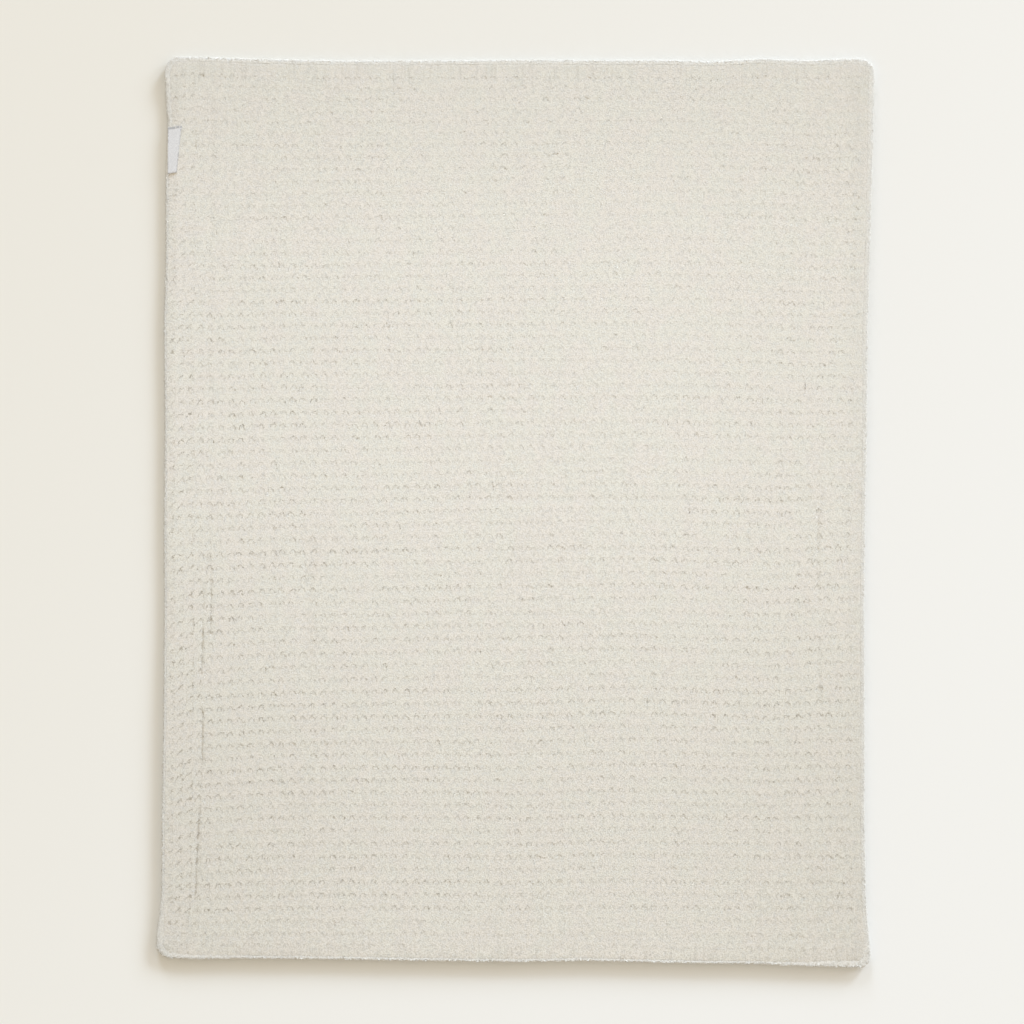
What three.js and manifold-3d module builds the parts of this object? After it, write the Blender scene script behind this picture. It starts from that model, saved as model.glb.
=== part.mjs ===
import * as THREE from 'three';
import Module from 'manifold-3d';
import { mergeVertices } from 'three/addons/utils/BufferGeometryUtils.js';

const wasm = await Module();
wasm.setup();

// A cot blanket of two fleeces sewn edge to edge, lying flat with its waffle face up.
// Millimetres, +Z up. It lies on z = 0, its long side along Y and its label at -X, near +Y.
// The origin is on that surface, under the middle of the blanket's outline.

// Whole blanket
const WIDTH = 760;
const LENGTH = 974;
const CORNER_RADIUS = 15;
const CORNER_STEP = 11.5;
const CLEARANCE = 0.3;

// Back, a teddy fleece whose edge rolls up around the face
const BACK_THICKNESS = 3.6;
const RIM_HEIGHT = 6.4;

// Face, a waffle fleece whose edge drops to the seam
const SEAM_GAP = 0.8;
const FACE_BOTTOM = BACK_THICKNESS + CLEARANCE;
const FACE_EDGE_THICKNESS = 1.6;
const FACE_THICKNESS = 3.7;
const EDGE_ROLL = 14;

// Sheet that the face is cut from: its lines near each edge, outside the outline and inside it,
// how far it reaches below the face, and the height of the block that cuts it
const EDGE_INSETS = [-20, 3, 8, 15];
const SHEET_SPARE = 2;
const BLOCK_HEIGHT = 15;

// Rows of waffle, counted from the lip at the top end, a little wider towards the bottom end
const ROWS = 72;
const FIRST_ROW = 12;
const TOP_PITCH = 12.7;
const BOTTOM_PITCH = 14.1;
const RIDGE_HEIGHT = 2.2;
const RIDGE_SHARE = 0.36;
const EDGE_RIDGE = 0.35;

// Woven label, sewn in at the left edge and lying on the face
const LABEL_TOP = 414;
const LABEL_LENGTH = 50;
const LABEL_WIDTH_TOP = 15;
const LABEL_WIDTH_BOTTOM = 10;
const LABEL_THICKNESS = 0.8;
const LABEL_LIFT = 0.9;
const LABEL_LINES = 6;

// Left and right edges down the blanket: how far each stands out from the plain rectangle,
// and how wide a strip of the back shows there outside the seam
const SIDES = [
  { place: -487, left: 9, right: 6.5, leftRim: 8, rightRim: 8 },
  { place: -465, left: 9, right: 4.5, leftRim: 8, rightRim: 6 },
  { place: -440, left: 5.5, right: 2, leftRim: 5, rightRim: 4.5 },
  { place: -415, left: 3, right: 0, leftRim: 3, rightRim: 4 },
  { place: -335, left: 2.5, right: -1.5, leftRim: 3, rightRim: 4 },
  { place: -230, left: 1, right: -1.5, leftRim: 3, rightRim: 4 },
  { place: -90, left: 0.5, right: -2, leftRim: 3, rightRim: 4 },
  { place: -10, left: 1, right: -1, leftRim: 3, rightRim: 4 },
  { place: 95, left: 0, right: 1, leftRim: 3, rightRim: 4.5 },
  { place: 200, left: 1, right: 2, leftRim: 3, rightRim: 5 },
  { place: 270, left: -1, right: 4, leftRim: 3, rightRim: 5 },
  { place: 370, left: -1, right: 7, leftRim: 3.5, rightRim: 5.5 },
  { place: 420, left: -3, right: 8, leftRim: 5, rightRim: 5.5 },
  { place: 440, left: -1, right: 8.5, leftRim: 6, rightRim: 6 },
  { place: 487, left: 0, right: 9.5, leftRim: 6, rightRim: 6 },
];

// Bottom and top ends across the blanket, in the same way
const ENDS = [
  { place: -380, bottom: -3, top: 4.5, bottomRim: 8, topRim: 5 },
  { place: -340, bottom: -1, top: 3, bottomRim: 4, topRim: 4.5 },
  { place: -290, bottom: -2, top: 1, bottomRim: 3, topRim: 4.5 },
  { place: -185, bottom: -1.5, top: -1, bottomRim: 3, topRim: 4.5 },
  { place: -105, bottom: -0.5, top: -1, bottomRim: 3, topRim: 4.5 },
  { place: 0, bottom: 1, top: 0, bottomRim: 3, topRim: 4.5 },
  { place: 75, bottom: 0, top: -0.5, bottomRim: 3, topRim: 4.5 },
  { place: 155, bottom: 2, top: -0.5, bottomRim: 3, topRim: 4.5 },
  { place: 205, bottom: 3, top: -2, bottomRim: 3, topRim: 4.5 },
  { place: 255, bottom: 3, top: 1, bottomRim: 3, topRim: 4.5 },
  { place: 310, bottom: 6.5, top: -1, bottomRim: 4, topRim: 4.5 },
  { place: 350, bottom: 9, top: 1, bottomRim: 7, topRim: 5 },
  { place: 380, bottom: 10, top: 0.5, bottomRim: 8, topRim: 5 },
];

// Section of the rolled rim: shares of its width in from the outline, and of its height.
// It bellies out to the outline part way up, and its foot on the surface is drawn in.
const RIM = [
  { inset: 0.2, height: 0.78 },
  { inset: 0.5, height: 1 },
  { inset: 0.82, height: 0.86 },
  { inset: 1, height: BACK_THICKNESS / RIM_HEIGHT },
];
const RIM_BELLY = 0.42;
const RIM_FOOT = 0.25;

// How far the rows sag across the blanket, half way down it
const ROW_SAG = [
  { place: -380, sag: 14 },
  { place: -320, sag: 7 },
  { place: -265, sag: 4.5 },
  { place: -160, sag: 2.5 },
  { place: 0, sag: 0 },
  { place: 155, sag: -1.5 },
  { place: 205, sag: -1 },
  { place: 260, sag: 2 },
  { place: 310, sag: 2 },
  { place: 380, sag: -2 },
];

// Creases pressed into the face, from one end to the other, with their depth and half width
const CREASES = [
  { name: 'left fold, top', x0: -334, y0: 460, x1: -334, y1: 0, depth: 0.6, half: 9 },
  { name: 'left fold, middle', x0: -335, y0: 0, x1: -337, y1: -190, depth: 2.2, half: 9 },
  { name: 'left fold, bottom', x0: -341, y0: -215, x1: -345, y1: -420, depth: 2.4, half: 8 },
  { name: 'left dent', x0: -222, y0: -40, x1: -220, y1: -178, depth: 1, half: 12 },
  { name: 'right fold', x0: 331, y0: 15, x1: 329, y1: -215, depth: 1.4, half: 10 },
  { name: 'right fold, foot', x0: 309, y0: -184, x1: 280, y1: -228, depth: 1, half: 10 },
  { name: 'middle line', x0: -95, y0: 13, x1: 331, y1: 11, depth: 0.7, half: 8 },
  { name: 'lower line', x0: -306, y0: -264, x1: 41, y1: -262, depth: 0.6, half: 8 },
];

// Extra lines across the face, where creases need them
const CREASE_LINES = [-350, -330, -222, 331];

// Slow unevenness of the face
const SWELL_HEIGHT = 0.35;
const SWELL_X = 95;
const SWELL_Y = 140;

const { clamp, lerp, smoothstep } = THREE.MathUtils;

// A table's column at a place along it, straight between its rows
function follow(table, place, column) {
  const next = table.findIndex((row) => row.place >= place);
  if (next < 1) return table.at(next)[column];
  const [before, after] = [table[next - 1], table[next]];
  return lerp(before[column], after[column], (place - before.place) / (after.place - before.place));
}

// Rounds the corners of the plain rectangle, keeping every ring around it at its distance
function roundCorner(u, v) {
  const centreU = WIDTH / 2 - CORNER_RADIUS;
  const centreV = LENGTH / 2 - CORNER_RADIUS;
  const overU = Math.abs(u) - centreU;
  const overV = Math.abs(v) - centreV;
  if (overU <= 0 || overV <= 0) return [u, v];
  const reach = Math.max(overU, overV);
  const eighth = Math.PI / 4;
  const angle = overU > overV ? (eighth * overV) / overU : 2 * eighth - (eighth * overU) / overV;
  return [
    Math.sign(u) * (centreU + reach * Math.cos(angle)),
    Math.sign(v) * (centreV + reach * Math.sin(angle)),
  ];
}

// Moves a point of the plain rectangle to its place on the real, uneven outline
function lay(flatU, flatV) {
  const [u, v] = roundCorner(flatU, flatV);
  const right = 0.5 + u / WIDTH;
  const top = 0.5 + v / LENGTH;
  return [
    u - follow(SIDES, v, 'left') * (1 - right) + follow(SIDES, v, 'right') * right,
    v - follow(ENDS, u, 'bottom') * (1 - top) + follow(ENDS, u, 'top') * top,
  ];
}

// The seam's distance in from each edge of the plain rectangle
const seamAt = {
  left: (v) => follow(SIDES, v, 'leftRim'),
  right: (v) => follow(SIDES, v, 'rightRim'),
  bottom: (u) => follow(ENDS, u, 'bottomRim'),
  top: (u) => follow(ENDS, u, 'topRim'),
};

// Lines across a layer: those near its edges are a share of the rim or a plain inset in from
// them, and those between are at the table's places
function gridLines(edgeLines, places, half, low, high) {
  const fixed = places.filter((place) => Math.abs(place) < half - CORNER_RADIUS - 1);
  const from = (line, rim) => half - (line.share * rim + line.inset);
  return [
    ...edgeLines.map((line) => (along) => -from(line, low(along))),
    ...fixed.map((place) => () => place),
    ...edgeLines.toReversed().map((line) => (along) => from(line, high(along))),
  ];
}

// Where a line across meets a line down, on the plain rectangle
function crossing(lineU, lineV) {
  const v = lineV(lineU(lineV(0)));
  return [lineU(v), v];
}

const CORNER_LINES = [
  { share: 0, inset: CORNER_STEP },
  { share: 0, inset: CORNER_RADIUS },
];
const sidePlaces = SIDES.map((row) => row.place);
const endPlaces = ENDS.map((row) => row.place);

// Row number at a distance down the blanket, a whole number on each ridge
function rowAt(v) {
  const growth = (BOTTOM_PITCH - TOP_PITCH) / (ROWS - 1);
  const start = TOP_PITCH - growth / 2;
  const down = Math.max(0, LENGTH / 2 - FIRST_ROW - v);
  return clamp((Math.sqrt(start * start + 2 * growth * down) - start) / growth, 0, ROWS - 1);
}

// The place of a row number, which rowAt undoes
function rowPlace(row) {
  const growth = (BOTTOM_PITCH - TOP_PITCH) / (ROWS - 1);
  return LENGTH / 2 - FIRST_ROW - (TOP_PITCH - growth / 2) * row - (growth * row * row) / 2;
}

// 1 on a ridge, falling straight to 0 on the floor of the waffle
function ridgeShare(v) {
  const row = rowAt(v);
  const away = Math.abs(row - Math.round(row));
  return clamp(1 - away / RIDGE_SHARE, 0, 1);
}

// Shortest way from a point to a crease's line
function creaseDistance(crease, x, y) {
  const line = new THREE.Line3(
    new THREE.Vector3(crease.x0, crease.y0, 0),
    new THREE.Vector3(crease.x1, crease.y1, 0),
  );
  const point = new THREE.Vector3(x, y, 0);
  return line.closestPointToPoint(point, true, new THREE.Vector3()).distanceTo(point);
}

// The rows hang lower at the sides, least near the two ends
function sagAt(u, v) {
  const share = Math.sin(Math.PI * smoothstep(v, -LENGTH / 2 + CORNER_RADIUS, LENGTH / 2 - CORNER_RADIUS));
  return follow(ROW_SAG, u, 'sag') * share;
}

// Height of the face's top over its own bottom, with the share of a ridge given
function faceHeight(u, v, ridge) {
  const across = Math.min(u + WIDTH / 2 - seamAt.left(v), WIDTH / 2 - u - seamAt.right(v));
  const along = Math.min(v + LENGTH / 2 - seamAt.bottom(u), LENGTH / 2 - v - seamAt.top(u));
  const roll = Math.sin((Math.PI / 2) * clamp((Math.min(across, along) - SEAM_GAP) / EDGE_ROLL, 0, 1));
  const swell = SWELL_HEIGHT * Math.sin(u / SWELL_X + 1) * Math.cos(v / SWELL_Y);
  const creases = CREASES.map((c) => c.depth * Math.exp(-((creaseDistance(c, u, v) / c.half) ** 2)));
  const pressed = Math.min(Math.max(...creases), FACE_THICKNESS - FACE_EDGE_THICKNESS);
  const cloth = lerp(FACE_EDGE_THICKNESS, FACE_THICKNESS - pressed + swell, roll);
  return cloth + RIDGE_HEIGHT * ridge * lerp(EDGE_RIDGE, 1, roll);
}

// Leaves a moved geometry with its points shared between faces
function weld(geometry) {
  geometry.deleteAttribute('normal');
  geometry.deleteAttribute('uv');
  geometry.clearGroups();
  const welded = mergeVertices(geometry, 1e-4);
  welded.computeVertexNormals();
  return welded;
}

// The part of one closed geometry that lies inside another
function common(first, second) {
  const [a, b] = [first, second].map((geometry) => {
    const { attributes, index } = weld(geometry);
    const mesh = { numProp: 3, vertProperties: attributes.position.array, triVerts: index.array };
    return new wasm.Manifold(new wasm.Mesh(mesh));
  });
  const { vertProperties, triVerts } = a.intersect(b).getMesh();
  const geometry = new THREE.BufferGeometry();
  geometry.setAttribute('position', new THREE.BufferAttribute(vertProperties, 3));
  geometry.setIndex(new THREE.BufferAttribute(triVerts, 1));
  geometry.computeVertexNormals();
  return geometry;
}

// The back: a tray of one thickness with the rolled rim around it
function backGeometry() {
  const edgeLines = [...RIM.map((ring) => ({ share: ring.inset, inset: 0 })), ...CORNER_LINES];
  const linesU = gridLines(edgeLines, endPlaces, WIDTH / 2, seamAt.left, seamAt.right);
  const linesV = gridLines(edgeLines, sidePlaces, LENGTH / 2, seamAt.bottom, seamAt.top);
  const [lastU, lastV] = [linesU.length - 1, linesV.length - 1];
  const geometry = new THREE.BoxGeometry(1, 1, 1, lastU, lastV, 2);
  const points = geometry.attributes.position;
  const foot = RIM_FOOT - RIM[0].inset;
  for (let i = 0; i < points.count; i += 1) {
    const column = Math.round((points.getX(i) + 0.5) * lastU);
    const row = Math.round((points.getY(i) + 0.5) * lastV);
    const level = Math.round((points.getZ(i) + 0.5) * 2);
    const ring = Math.min(column, row, lastU - column, lastV - row, RIM.length - 1);
    const inward = [foot, -RIM[0].inset, 0][level];
    let [u, v] = crossing(linesU[column], linesV[row]);
    if (column === 0) u += inward * seamAt.left(v);
    if (column === lastU) u -= inward * seamAt.right(v);
    if (row === 0) v += inward * seamAt.bottom(u);
    if (row === lastV) v -= inward * seamAt.top(u);
    points.setXYZ(i, ...lay(u, v), RIM_HEIGHT * [0, RIM_BELLY, RIM[ring].height][level]);
  }
  return weld(geometry);
}

// The face's cut outline, just inside the back's rim
function faceOutline() {
  const edgeLines = [{ share: 1, inset: SEAM_GAP }, ...CORNER_LINES];
  const linesU = gridLines(edgeLines, endPlaces, WIDTH / 2, seamAt.left, seamAt.right);
  const linesV = gridLines(edgeLines, sidePlaces, LENGTH / 2, seamAt.bottom, seamAt.top);
  const walk = [
    ...linesU.slice(0, -1).map((line) => [line, linesV[0]]),
    ...linesV.slice(0, -1).map((line) => [linesU.at(-1), line]),
    ...linesU.slice(1).toReversed().map((line) => [line, linesV.at(-1)]),
    ...linesV.slice(1).toReversed().map((line) => [linesU[0], line]),
  ];
  return new THREE.Shape(walk.map(([lineU, lineV]) => new THREE.Vector2(...lay(...crossing(lineU, lineV)))));
}

// A sheet larger than the face with its top: the ridged section down the blanket, carried
// across it in steps that bend with the rows
function ridgedSheet() {
  const edge = EDGE_INSETS.map((inset) => ({ share: 0, inset }));
  const placesU = [...endPlaces, ...CREASE_LINES].sort((a, b) => a - b);
  const linesU = gridLines(edge, placesU, WIDTH / 2, seamAt.left, seamAt.right).map((line) => line(0));
  const rows = [];
  for (let row = 0; row < ROWS - 1; row += 1) {
    if (row > 0) rows.push(rowPlace(row));
    rows.push(rowPlace(row + RIDGE_SHARE), rowPlace(row + 1 - RIDGE_SHARE));
  }
  const ends = EDGE_INSETS.map((inset) => LENGTH / 2 - inset);
  const top = [...ends, ...rows, ...ends.toReversed().map((v) => -v)];
  const section = new THREE.Shape([
    new THREE.Vector2(top.at(-1), -SHEET_SPARE),
    new THREE.Vector2(top[0], -SHEET_SPARE),
    ...top.map((v) => new THREE.Vector2(v, 1 + ridgeShare(v))),
  ]);
  const steps = linesU.length - 1;
  const geometry = new THREE.ExtrudeGeometry(section, { depth: steps, steps, bevelEnabled: false });
  const points = geometry.attributes.position;
  for (let i = 0; i < points.count; i += 1) {
    const [flatV, level, step] = [points.getX(i), points.getY(i), Math.round(points.getZ(i))];
    const inside = step > 0 && step < steps && level > 0;
    const u = linesU[step];
    const v = inside ? flatV - sagAt(u, flatV) : flatV;
    const height = inside ? faceHeight(u, v, ridgeShare(flatV)) : level;
    points.setXYZ(i, ...(inside ? lay(u, v) : [u, v]), FACE_BOTTOM + height);
  }
  return geometry;
}

// The face: the ridged sheet cut to its outline
function faceGeometry() {
  const block = new THREE.ExtrudeGeometry(faceOutline(), { depth: BLOCK_HEIGHT, bevelEnabled: false });
  return common(ridgedSheet(), block.translate(0, 0, FACE_BOTTOM));
}

// The label: a flat tab that rises from the rim onto the ridges, narrower at its lower end
function labelGeometry() {
  const geometry = new THREE.BoxGeometry(1, 1, 1, LABEL_LINES, LABEL_LINES, 1);
  const points = geometry.attributes.position;
  for (let i = 0; i < points.count; i += 1) {
    const out = points.getX(i) + 0.5;
    const v = LABEL_TOP + (points.getY(i) - 0.5) * LABEL_LENGTH;
    const width = lerp(LABEL_WIDTH_BOTTOM, LABEL_WIDTH_TOP, points.getY(i) + 0.5);
    const u = -WIDTH / 2 + seamAt.left(v) * RIM[0].inset + out * width;
    const ridges = FACE_BOTTOM + faceHeight(Math.max(u, -WIDTH / 2 + seamAt.left(v) + SEAM_GAP), v, 1);
    const under = Math.max(ridges, RIM_HEIGHT) + LABEL_LIFT;
    points.setXYZ(i, ...lay(u, v), under + (points.getZ(i) + 0.5) * LABEL_THICKNESS);
  }
  return weld(geometry);
}

const face = new THREE.MeshStandardMaterial({ color: 0xe2decf, roughness: 0.95, metalness: 0 });
const back = new THREE.MeshStandardMaterial({ color: 0xdeddd6, roughness: 0.95, metalness: 0 });
const satin = new THREE.MeshStandardMaterial({ color: 0xe4e6ec, roughness: 0.5, metalness: 0 });

const blanket = new THREE.Group();

function add(name, geometry, material) {
  const mesh = new THREE.Mesh(geometry, material);
  mesh.name = name;
  blanket.add(mesh);
}

add('back_panel', backGeometry(), back);
add('face_panel', faceGeometry(), face);
add('label', labelGeometry(), satin);

// The uneven outline is centred over the origin
const centre = new THREE.Box3().setFromObject(blanket).getCenter(new THREE.Vector3());
blanket.position.set(-centre.x, -centre.y, 0);

export default blanket;
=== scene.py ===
"""A cot blanket of two fleeces, lying with its waffle face up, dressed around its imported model.

Metres, +Z up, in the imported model's frame: the blanket lies on z = 0, its long side along Y.
A place on the cloth is given on the plain rectangle that it was cut to, as u across and v up
from its middle, and Outline.lay moves it to the uneven outline in which the cloth lies.
"""

import logging
import math
from dataclasses import dataclass
from enum import Enum
from typing import NamedTuple

import bpy
import numpy as np
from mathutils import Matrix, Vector


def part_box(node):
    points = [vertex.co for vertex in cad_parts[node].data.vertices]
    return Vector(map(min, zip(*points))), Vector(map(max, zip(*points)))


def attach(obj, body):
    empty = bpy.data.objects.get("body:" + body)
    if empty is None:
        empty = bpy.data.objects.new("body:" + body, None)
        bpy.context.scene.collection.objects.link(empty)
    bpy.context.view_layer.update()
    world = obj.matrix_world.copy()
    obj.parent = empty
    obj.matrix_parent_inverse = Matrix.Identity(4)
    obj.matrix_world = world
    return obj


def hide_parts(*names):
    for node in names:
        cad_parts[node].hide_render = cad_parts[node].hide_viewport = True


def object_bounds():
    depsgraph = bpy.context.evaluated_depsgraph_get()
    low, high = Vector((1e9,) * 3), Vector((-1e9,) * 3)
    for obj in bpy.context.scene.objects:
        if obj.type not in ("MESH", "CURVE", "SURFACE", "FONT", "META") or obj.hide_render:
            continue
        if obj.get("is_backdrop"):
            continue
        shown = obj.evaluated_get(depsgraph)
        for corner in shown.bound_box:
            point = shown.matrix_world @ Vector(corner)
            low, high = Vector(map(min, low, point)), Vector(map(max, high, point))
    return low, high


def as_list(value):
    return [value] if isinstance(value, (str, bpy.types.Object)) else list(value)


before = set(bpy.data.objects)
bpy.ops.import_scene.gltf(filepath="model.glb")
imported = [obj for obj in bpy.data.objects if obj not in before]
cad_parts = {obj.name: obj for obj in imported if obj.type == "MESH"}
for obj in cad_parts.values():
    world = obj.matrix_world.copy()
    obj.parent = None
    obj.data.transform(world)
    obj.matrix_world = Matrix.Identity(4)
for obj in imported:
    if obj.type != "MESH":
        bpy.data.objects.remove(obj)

log = logging.getLogger("blanket")

Array = np.ndarray
Colour = tuple[float, float, float]
Socket = bpy.types.NodeSocket

# Distance between the points that the outline's reach is measured with
MEASURE_STEP = 0.002

# How far below level a cloth may face, as a sine, before its shading is left as it is
DOWNWARD = 0.4


class Span(NamedTuple):
    """Where a slow change starts and where it is complete, or the two ends of a range."""

    start: float
    end: float


class SideRow(NamedTuple):
    """How far the left and right edges stand out at one place up the blanket, and their rims."""

    place: float
    left: float
    right: float
    left_rim: float
    right_rim: float


class EndRow(NamedTuple):
    """How far the bottom and top ends stand out at one place across, and their rims."""

    place: float
    bottom: float
    top: float
    bottom_rim: float
    top_rim: float


class Step(NamedTuple):
    """A value at one place along the cloth."""

    place: float
    value: float


class SagRow(NamedTuple):
    """How far the waffle's rows hang at one place across the cloth, at six heights up it."""

    place: float
    head: float
    upper: float
    middle: float
    lower: float
    near_foot: float
    foot: float


class Crease(NamedTuple):
    """A line pressed into the face, from one end to the other."""

    u0: float
    v0: float
    u1: float
    v1: float
    depth: float
    half: float


SIDES = (
    SideRow(-0.487, 0.0090, 0.0065, 0.0080, 0.0080),
    SideRow(-0.465, 0.0090, 0.0045, 0.0080, 0.0060),
    SideRow(-0.440, 0.0055, 0.0020, 0.0050, 0.0045),
    SideRow(-0.415, 0.0030, 0.0000, 0.0030, 0.0040),
    SideRow(-0.335, 0.0025, -0.0015, 0.0030, 0.0040),
    SideRow(-0.230, 0.0010, -0.0015, 0.0030, 0.0040),
    SideRow(-0.090, 0.0005, -0.0020, 0.0030, 0.0040),
    SideRow(-0.010, 0.0010, -0.0010, 0.0030, 0.0040),
    SideRow(0.095, 0.0000, 0.0010, 0.0030, 0.0045),
    SideRow(0.200, 0.0010, 0.0020, 0.0030, 0.0050),
    SideRow(0.270, -0.0010, 0.0040, 0.0030, 0.0050),
    SideRow(0.370, -0.0010, 0.0070, 0.0035, 0.0055),
    SideRow(0.420, -0.0030, 0.0080, 0.0050, 0.0055),
    SideRow(0.440, -0.0010, 0.0085, 0.0060, 0.0060),
    SideRow(0.487, 0.0000, 0.0095, 0.0060, 0.0060),
)

ENDS = (
    EndRow(-0.380, -0.0020, 0.0010, 0.0080, 0.0050),
    EndRow(-0.365, -0.0010, 0.0032, 0.0060, 0.0047),
    EndRow(-0.340, 0.0000, 0.0030, 0.0040, 0.0045),
    EndRow(-0.290, -0.0010, 0.0010, 0.0030, 0.0045),
    EndRow(-0.185, 0.0000, -0.0010, 0.0030, 0.0045),
    EndRow(-0.105, 0.0015, -0.0010, 0.0030, 0.0045),
    EndRow(0.000, 0.0029, 0.0000, 0.0030, 0.0045),
    EndRow(0.075, 0.0016, -0.0005, 0.0030, 0.0045),
    EndRow(0.155, 0.0034, -0.0005, 0.0030, 0.0045),
    EndRow(0.205, 0.0048, -0.0020, 0.0030, 0.0045),
    EndRow(0.255, 0.0050, 0.0010, 0.0030, 0.0045),
    EndRow(0.310, 0.0076, -0.0010, 0.0040, 0.0045),
    EndRow(0.350, 0.0090, 0.0010, 0.0070, 0.0050),
    EndRow(0.380, 0.0100, 0.0005, 0.0080, 0.0050),
)

# Places up the cut cloth of some of the waffle's rows, from the top end to the bottom end
ROWS = (
    Step(-1, 0.4870),
    Step(0, 0.4733),
    Step(7, 0.3883),
    Step(17, 0.2586),
    Step(27, 0.1269),
    Step(37, -0.0072),
    Step(47, -0.1455),
    Step(57, -0.2857),
    Step(60, -0.3265),
    Step(67, -0.4243),
    Step(70, -0.4667),
    Step(71, -0.4870),
)

# How far the waffle's rows hang at places across the cloth
ROW_SAG = (
    SagRow(-0.380, 0.0054, 0.0072, 0.0130, 0.0130, 0.0090, 0.0066),
    SagRow(-0.340, 0.0054, 0.0065, 0.0115, 0.0117, 0.0077, 0.0060),
    SagRow(-0.304, 0.0050, 0.0057, 0.0098, 0.0102, 0.0063, 0.0052),
    SagRow(-0.258, 0.0038, 0.0028, 0.0070, 0.0072, 0.0037, 0.0031),
    SagRow(-0.163, 0.0015, 0.0011, 0.0045, 0.0042, 0.0011, 0.0015),
    SagRow(-0.049, -0.0003, 0.0001, 0.0009, 0.0010, 0.0003, -0.0001),
    SagRow(0.016, 0.0002, -0.0002, 0.0004, 0.0010, 0.0017, -0.0001),
    SagRow(0.125, -0.0032, -0.0014, -0.0008, -0.0022, -0.0031, -0.0014),
    SagRow(0.190, -0.0026, -0.0021, -0.0011, -0.0013, -0.0025, -0.0026),
    SagRow(0.274, 0.0020, 0.0013, 0.0027, 0.0020, -0.0013, -0.0031),
    SagRow(0.328, 0.0040, 0.0018, -0.0020, -0.0045, -0.0053, -0.0055),
    SagRow(0.380, 0.0040, 0.0018, -0.0028, -0.0056, -0.0064, -0.0062),
)

# Slope of the rows in the strip left of the long fold, at places up the blanket
STRIP_SLOPE = (
    Step(-0.430, 0.00),
    Step(-0.380, 0.18),
    Step(-0.315, 0.26),
    Step(-0.228, 0.26),
    Step(-0.160, 0.24),
    Step(-0.098, 0.16),
    Step(0.011, 0.06),
    Step(0.336, 0.04),
    Step(0.445, 0.00),
)

# Depth of the cells from the bottom end to the top, and how it changes across the cloth
# The same strength also sets how dark the painted shade in each cell's arch is
CELL_DEPTH = (
    Step(-0.487, 0.95),
    Step(-0.440, 1.15),
    Step(-0.428, 1.55),
    Step(-0.330, 1.39),
    Step(-0.230, 1.61),
    Step(-0.140, 1.45),
    Step(-0.045, 1.26),
    Step(0.050, 1.15),
    Step(0.143, 0.97),
    Step(0.240, 0.93),
    Step(0.335, 0.73),
    Step(0.440, 0.73),
    Step(0.474, 0.82),
    Step(0.487, 0.40),
)

# Depth of the cells across the cloth, which also sets how dark their painted arch shade is
SIDE_DEPTH = (
    Step(-0.370, 2.20),
    Step(-0.345, 2.00),
    Step(-0.335, 1.36),
    Step(-0.245, 1.28),
    Step(-0.165, 1.12),
    Step(-0.080, 0.96),
    Step(0.000, 0.92),
    Step(0.080, 0.80),
    Step(0.160, 0.84),
    Step(0.245, 0.96),
    Step(0.325, 1.06),
    Step(0.370, 1.15),
)

CREASES = (
    Crease(-0.334, 0.460, -0.334, 0.000, 0.0006, 0.007),
    Crease(-0.357, 0.230, -0.357, -0.010, 0.0006, 0.003),
    Crease(-0.3295, -0.030, -0.3285, -0.138, 0.0008, 0.0022),
    Crease(-0.3335, -0.058, -0.3295, -0.052, 0.0015, 0.0016),
    Crease(-0.3280, -0.084, -0.3292, -0.135, 0.0014, 0.0018),
    Crease(-0.3345, -0.064, -0.3372, -0.108, 0.0010, 0.0020),
    Crease(-0.3372, -0.128, -0.3385, -0.178, 0.0012, 0.0018),
    Crease(-0.3370, -0.220, -0.3375, -0.272, 0.0014, 0.0018),
    Crease(-0.3375, -0.272, -0.3400, -0.330, 0.0006, 0.0018),
    Crease(-0.3400, -0.330, -0.3435, -0.418, 0.0015, 0.0018),
    Crease(-0.222, -0.040, -0.220, -0.178, 0.0010, 0.010),
    Crease(0.3295, 0.002, 0.3290, -0.080, 0.0011, 0.0020),
    Crease(0.3290, -0.080, 0.3330, -0.122, 0.0007, 0.0030),
    Crease(0.3320, -0.134, 0.3300, -0.200, 0.0009, 0.0030),
    Crease(0.309, -0.184, 0.280, -0.228, 0.0006, 0.006),
    Crease(-0.095, 0.013, 0.331, 0.011, 0.0007, 0.006),
    Crease(-0.306, -0.264, 0.041, -0.262, 0.0006, 0.006),
)


class Finish(Enum):
    """Names of the material slots of the back, the face and the label."""

    BACK = "teddy_fleece"
    FACE = "waffle_fleece"
    LABEL = "woven_label"


def along(table: tuple[NamedTuple, ...], place: Array, column: str) -> Array:
    """The named column of a table at places along it, straight between its rows."""
    places = [row.place for row in table]
    return np.interp(place, places, [getattr(row, column) for row in table])


def smooth_rise(value: Array, low: float, high: float) -> Array:
    """0 below low and 1 above high, with a smooth rise between."""
    share = np.clip((value - low) / (high - low), 0.0, 1.0)
    return share * share * (3.0 - 2.0 * share)


def patchy(rng: np.random.Generator, across: Array, up: Array, patch: float) -> Array:
    """Smooth random patches of about one size over the cloth.

    Args:
        rng: Source of the random values.
        across: Places across the cloth.
        up: Places up the cloth, of the same shape.
        patch: Size of a patch.

    Returns:
        Values from -1 to 1.
    """
    x = (across - across.min()) / patch
    y = (up - up.min()) / patch
    knots = rng.uniform(-1.0, 1.0, (int(y.max()) + 2, int(x.max()) + 2))
    column, row = x.astype(int), y.astype(int)
    share_x = smooth_rise(x - column, 0.0, 1.0)
    share_y = smooth_rise(y - row, 0.0, 1.0)
    lower = knots[row, column] * (1 - share_x) + knots[row, column + 1] * share_x
    upper = knots[row + 1, column] * (1 - share_x) + knots[row + 1, column + 1] * share_x
    return lower * (1 - share_y) + upper * share_y


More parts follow.
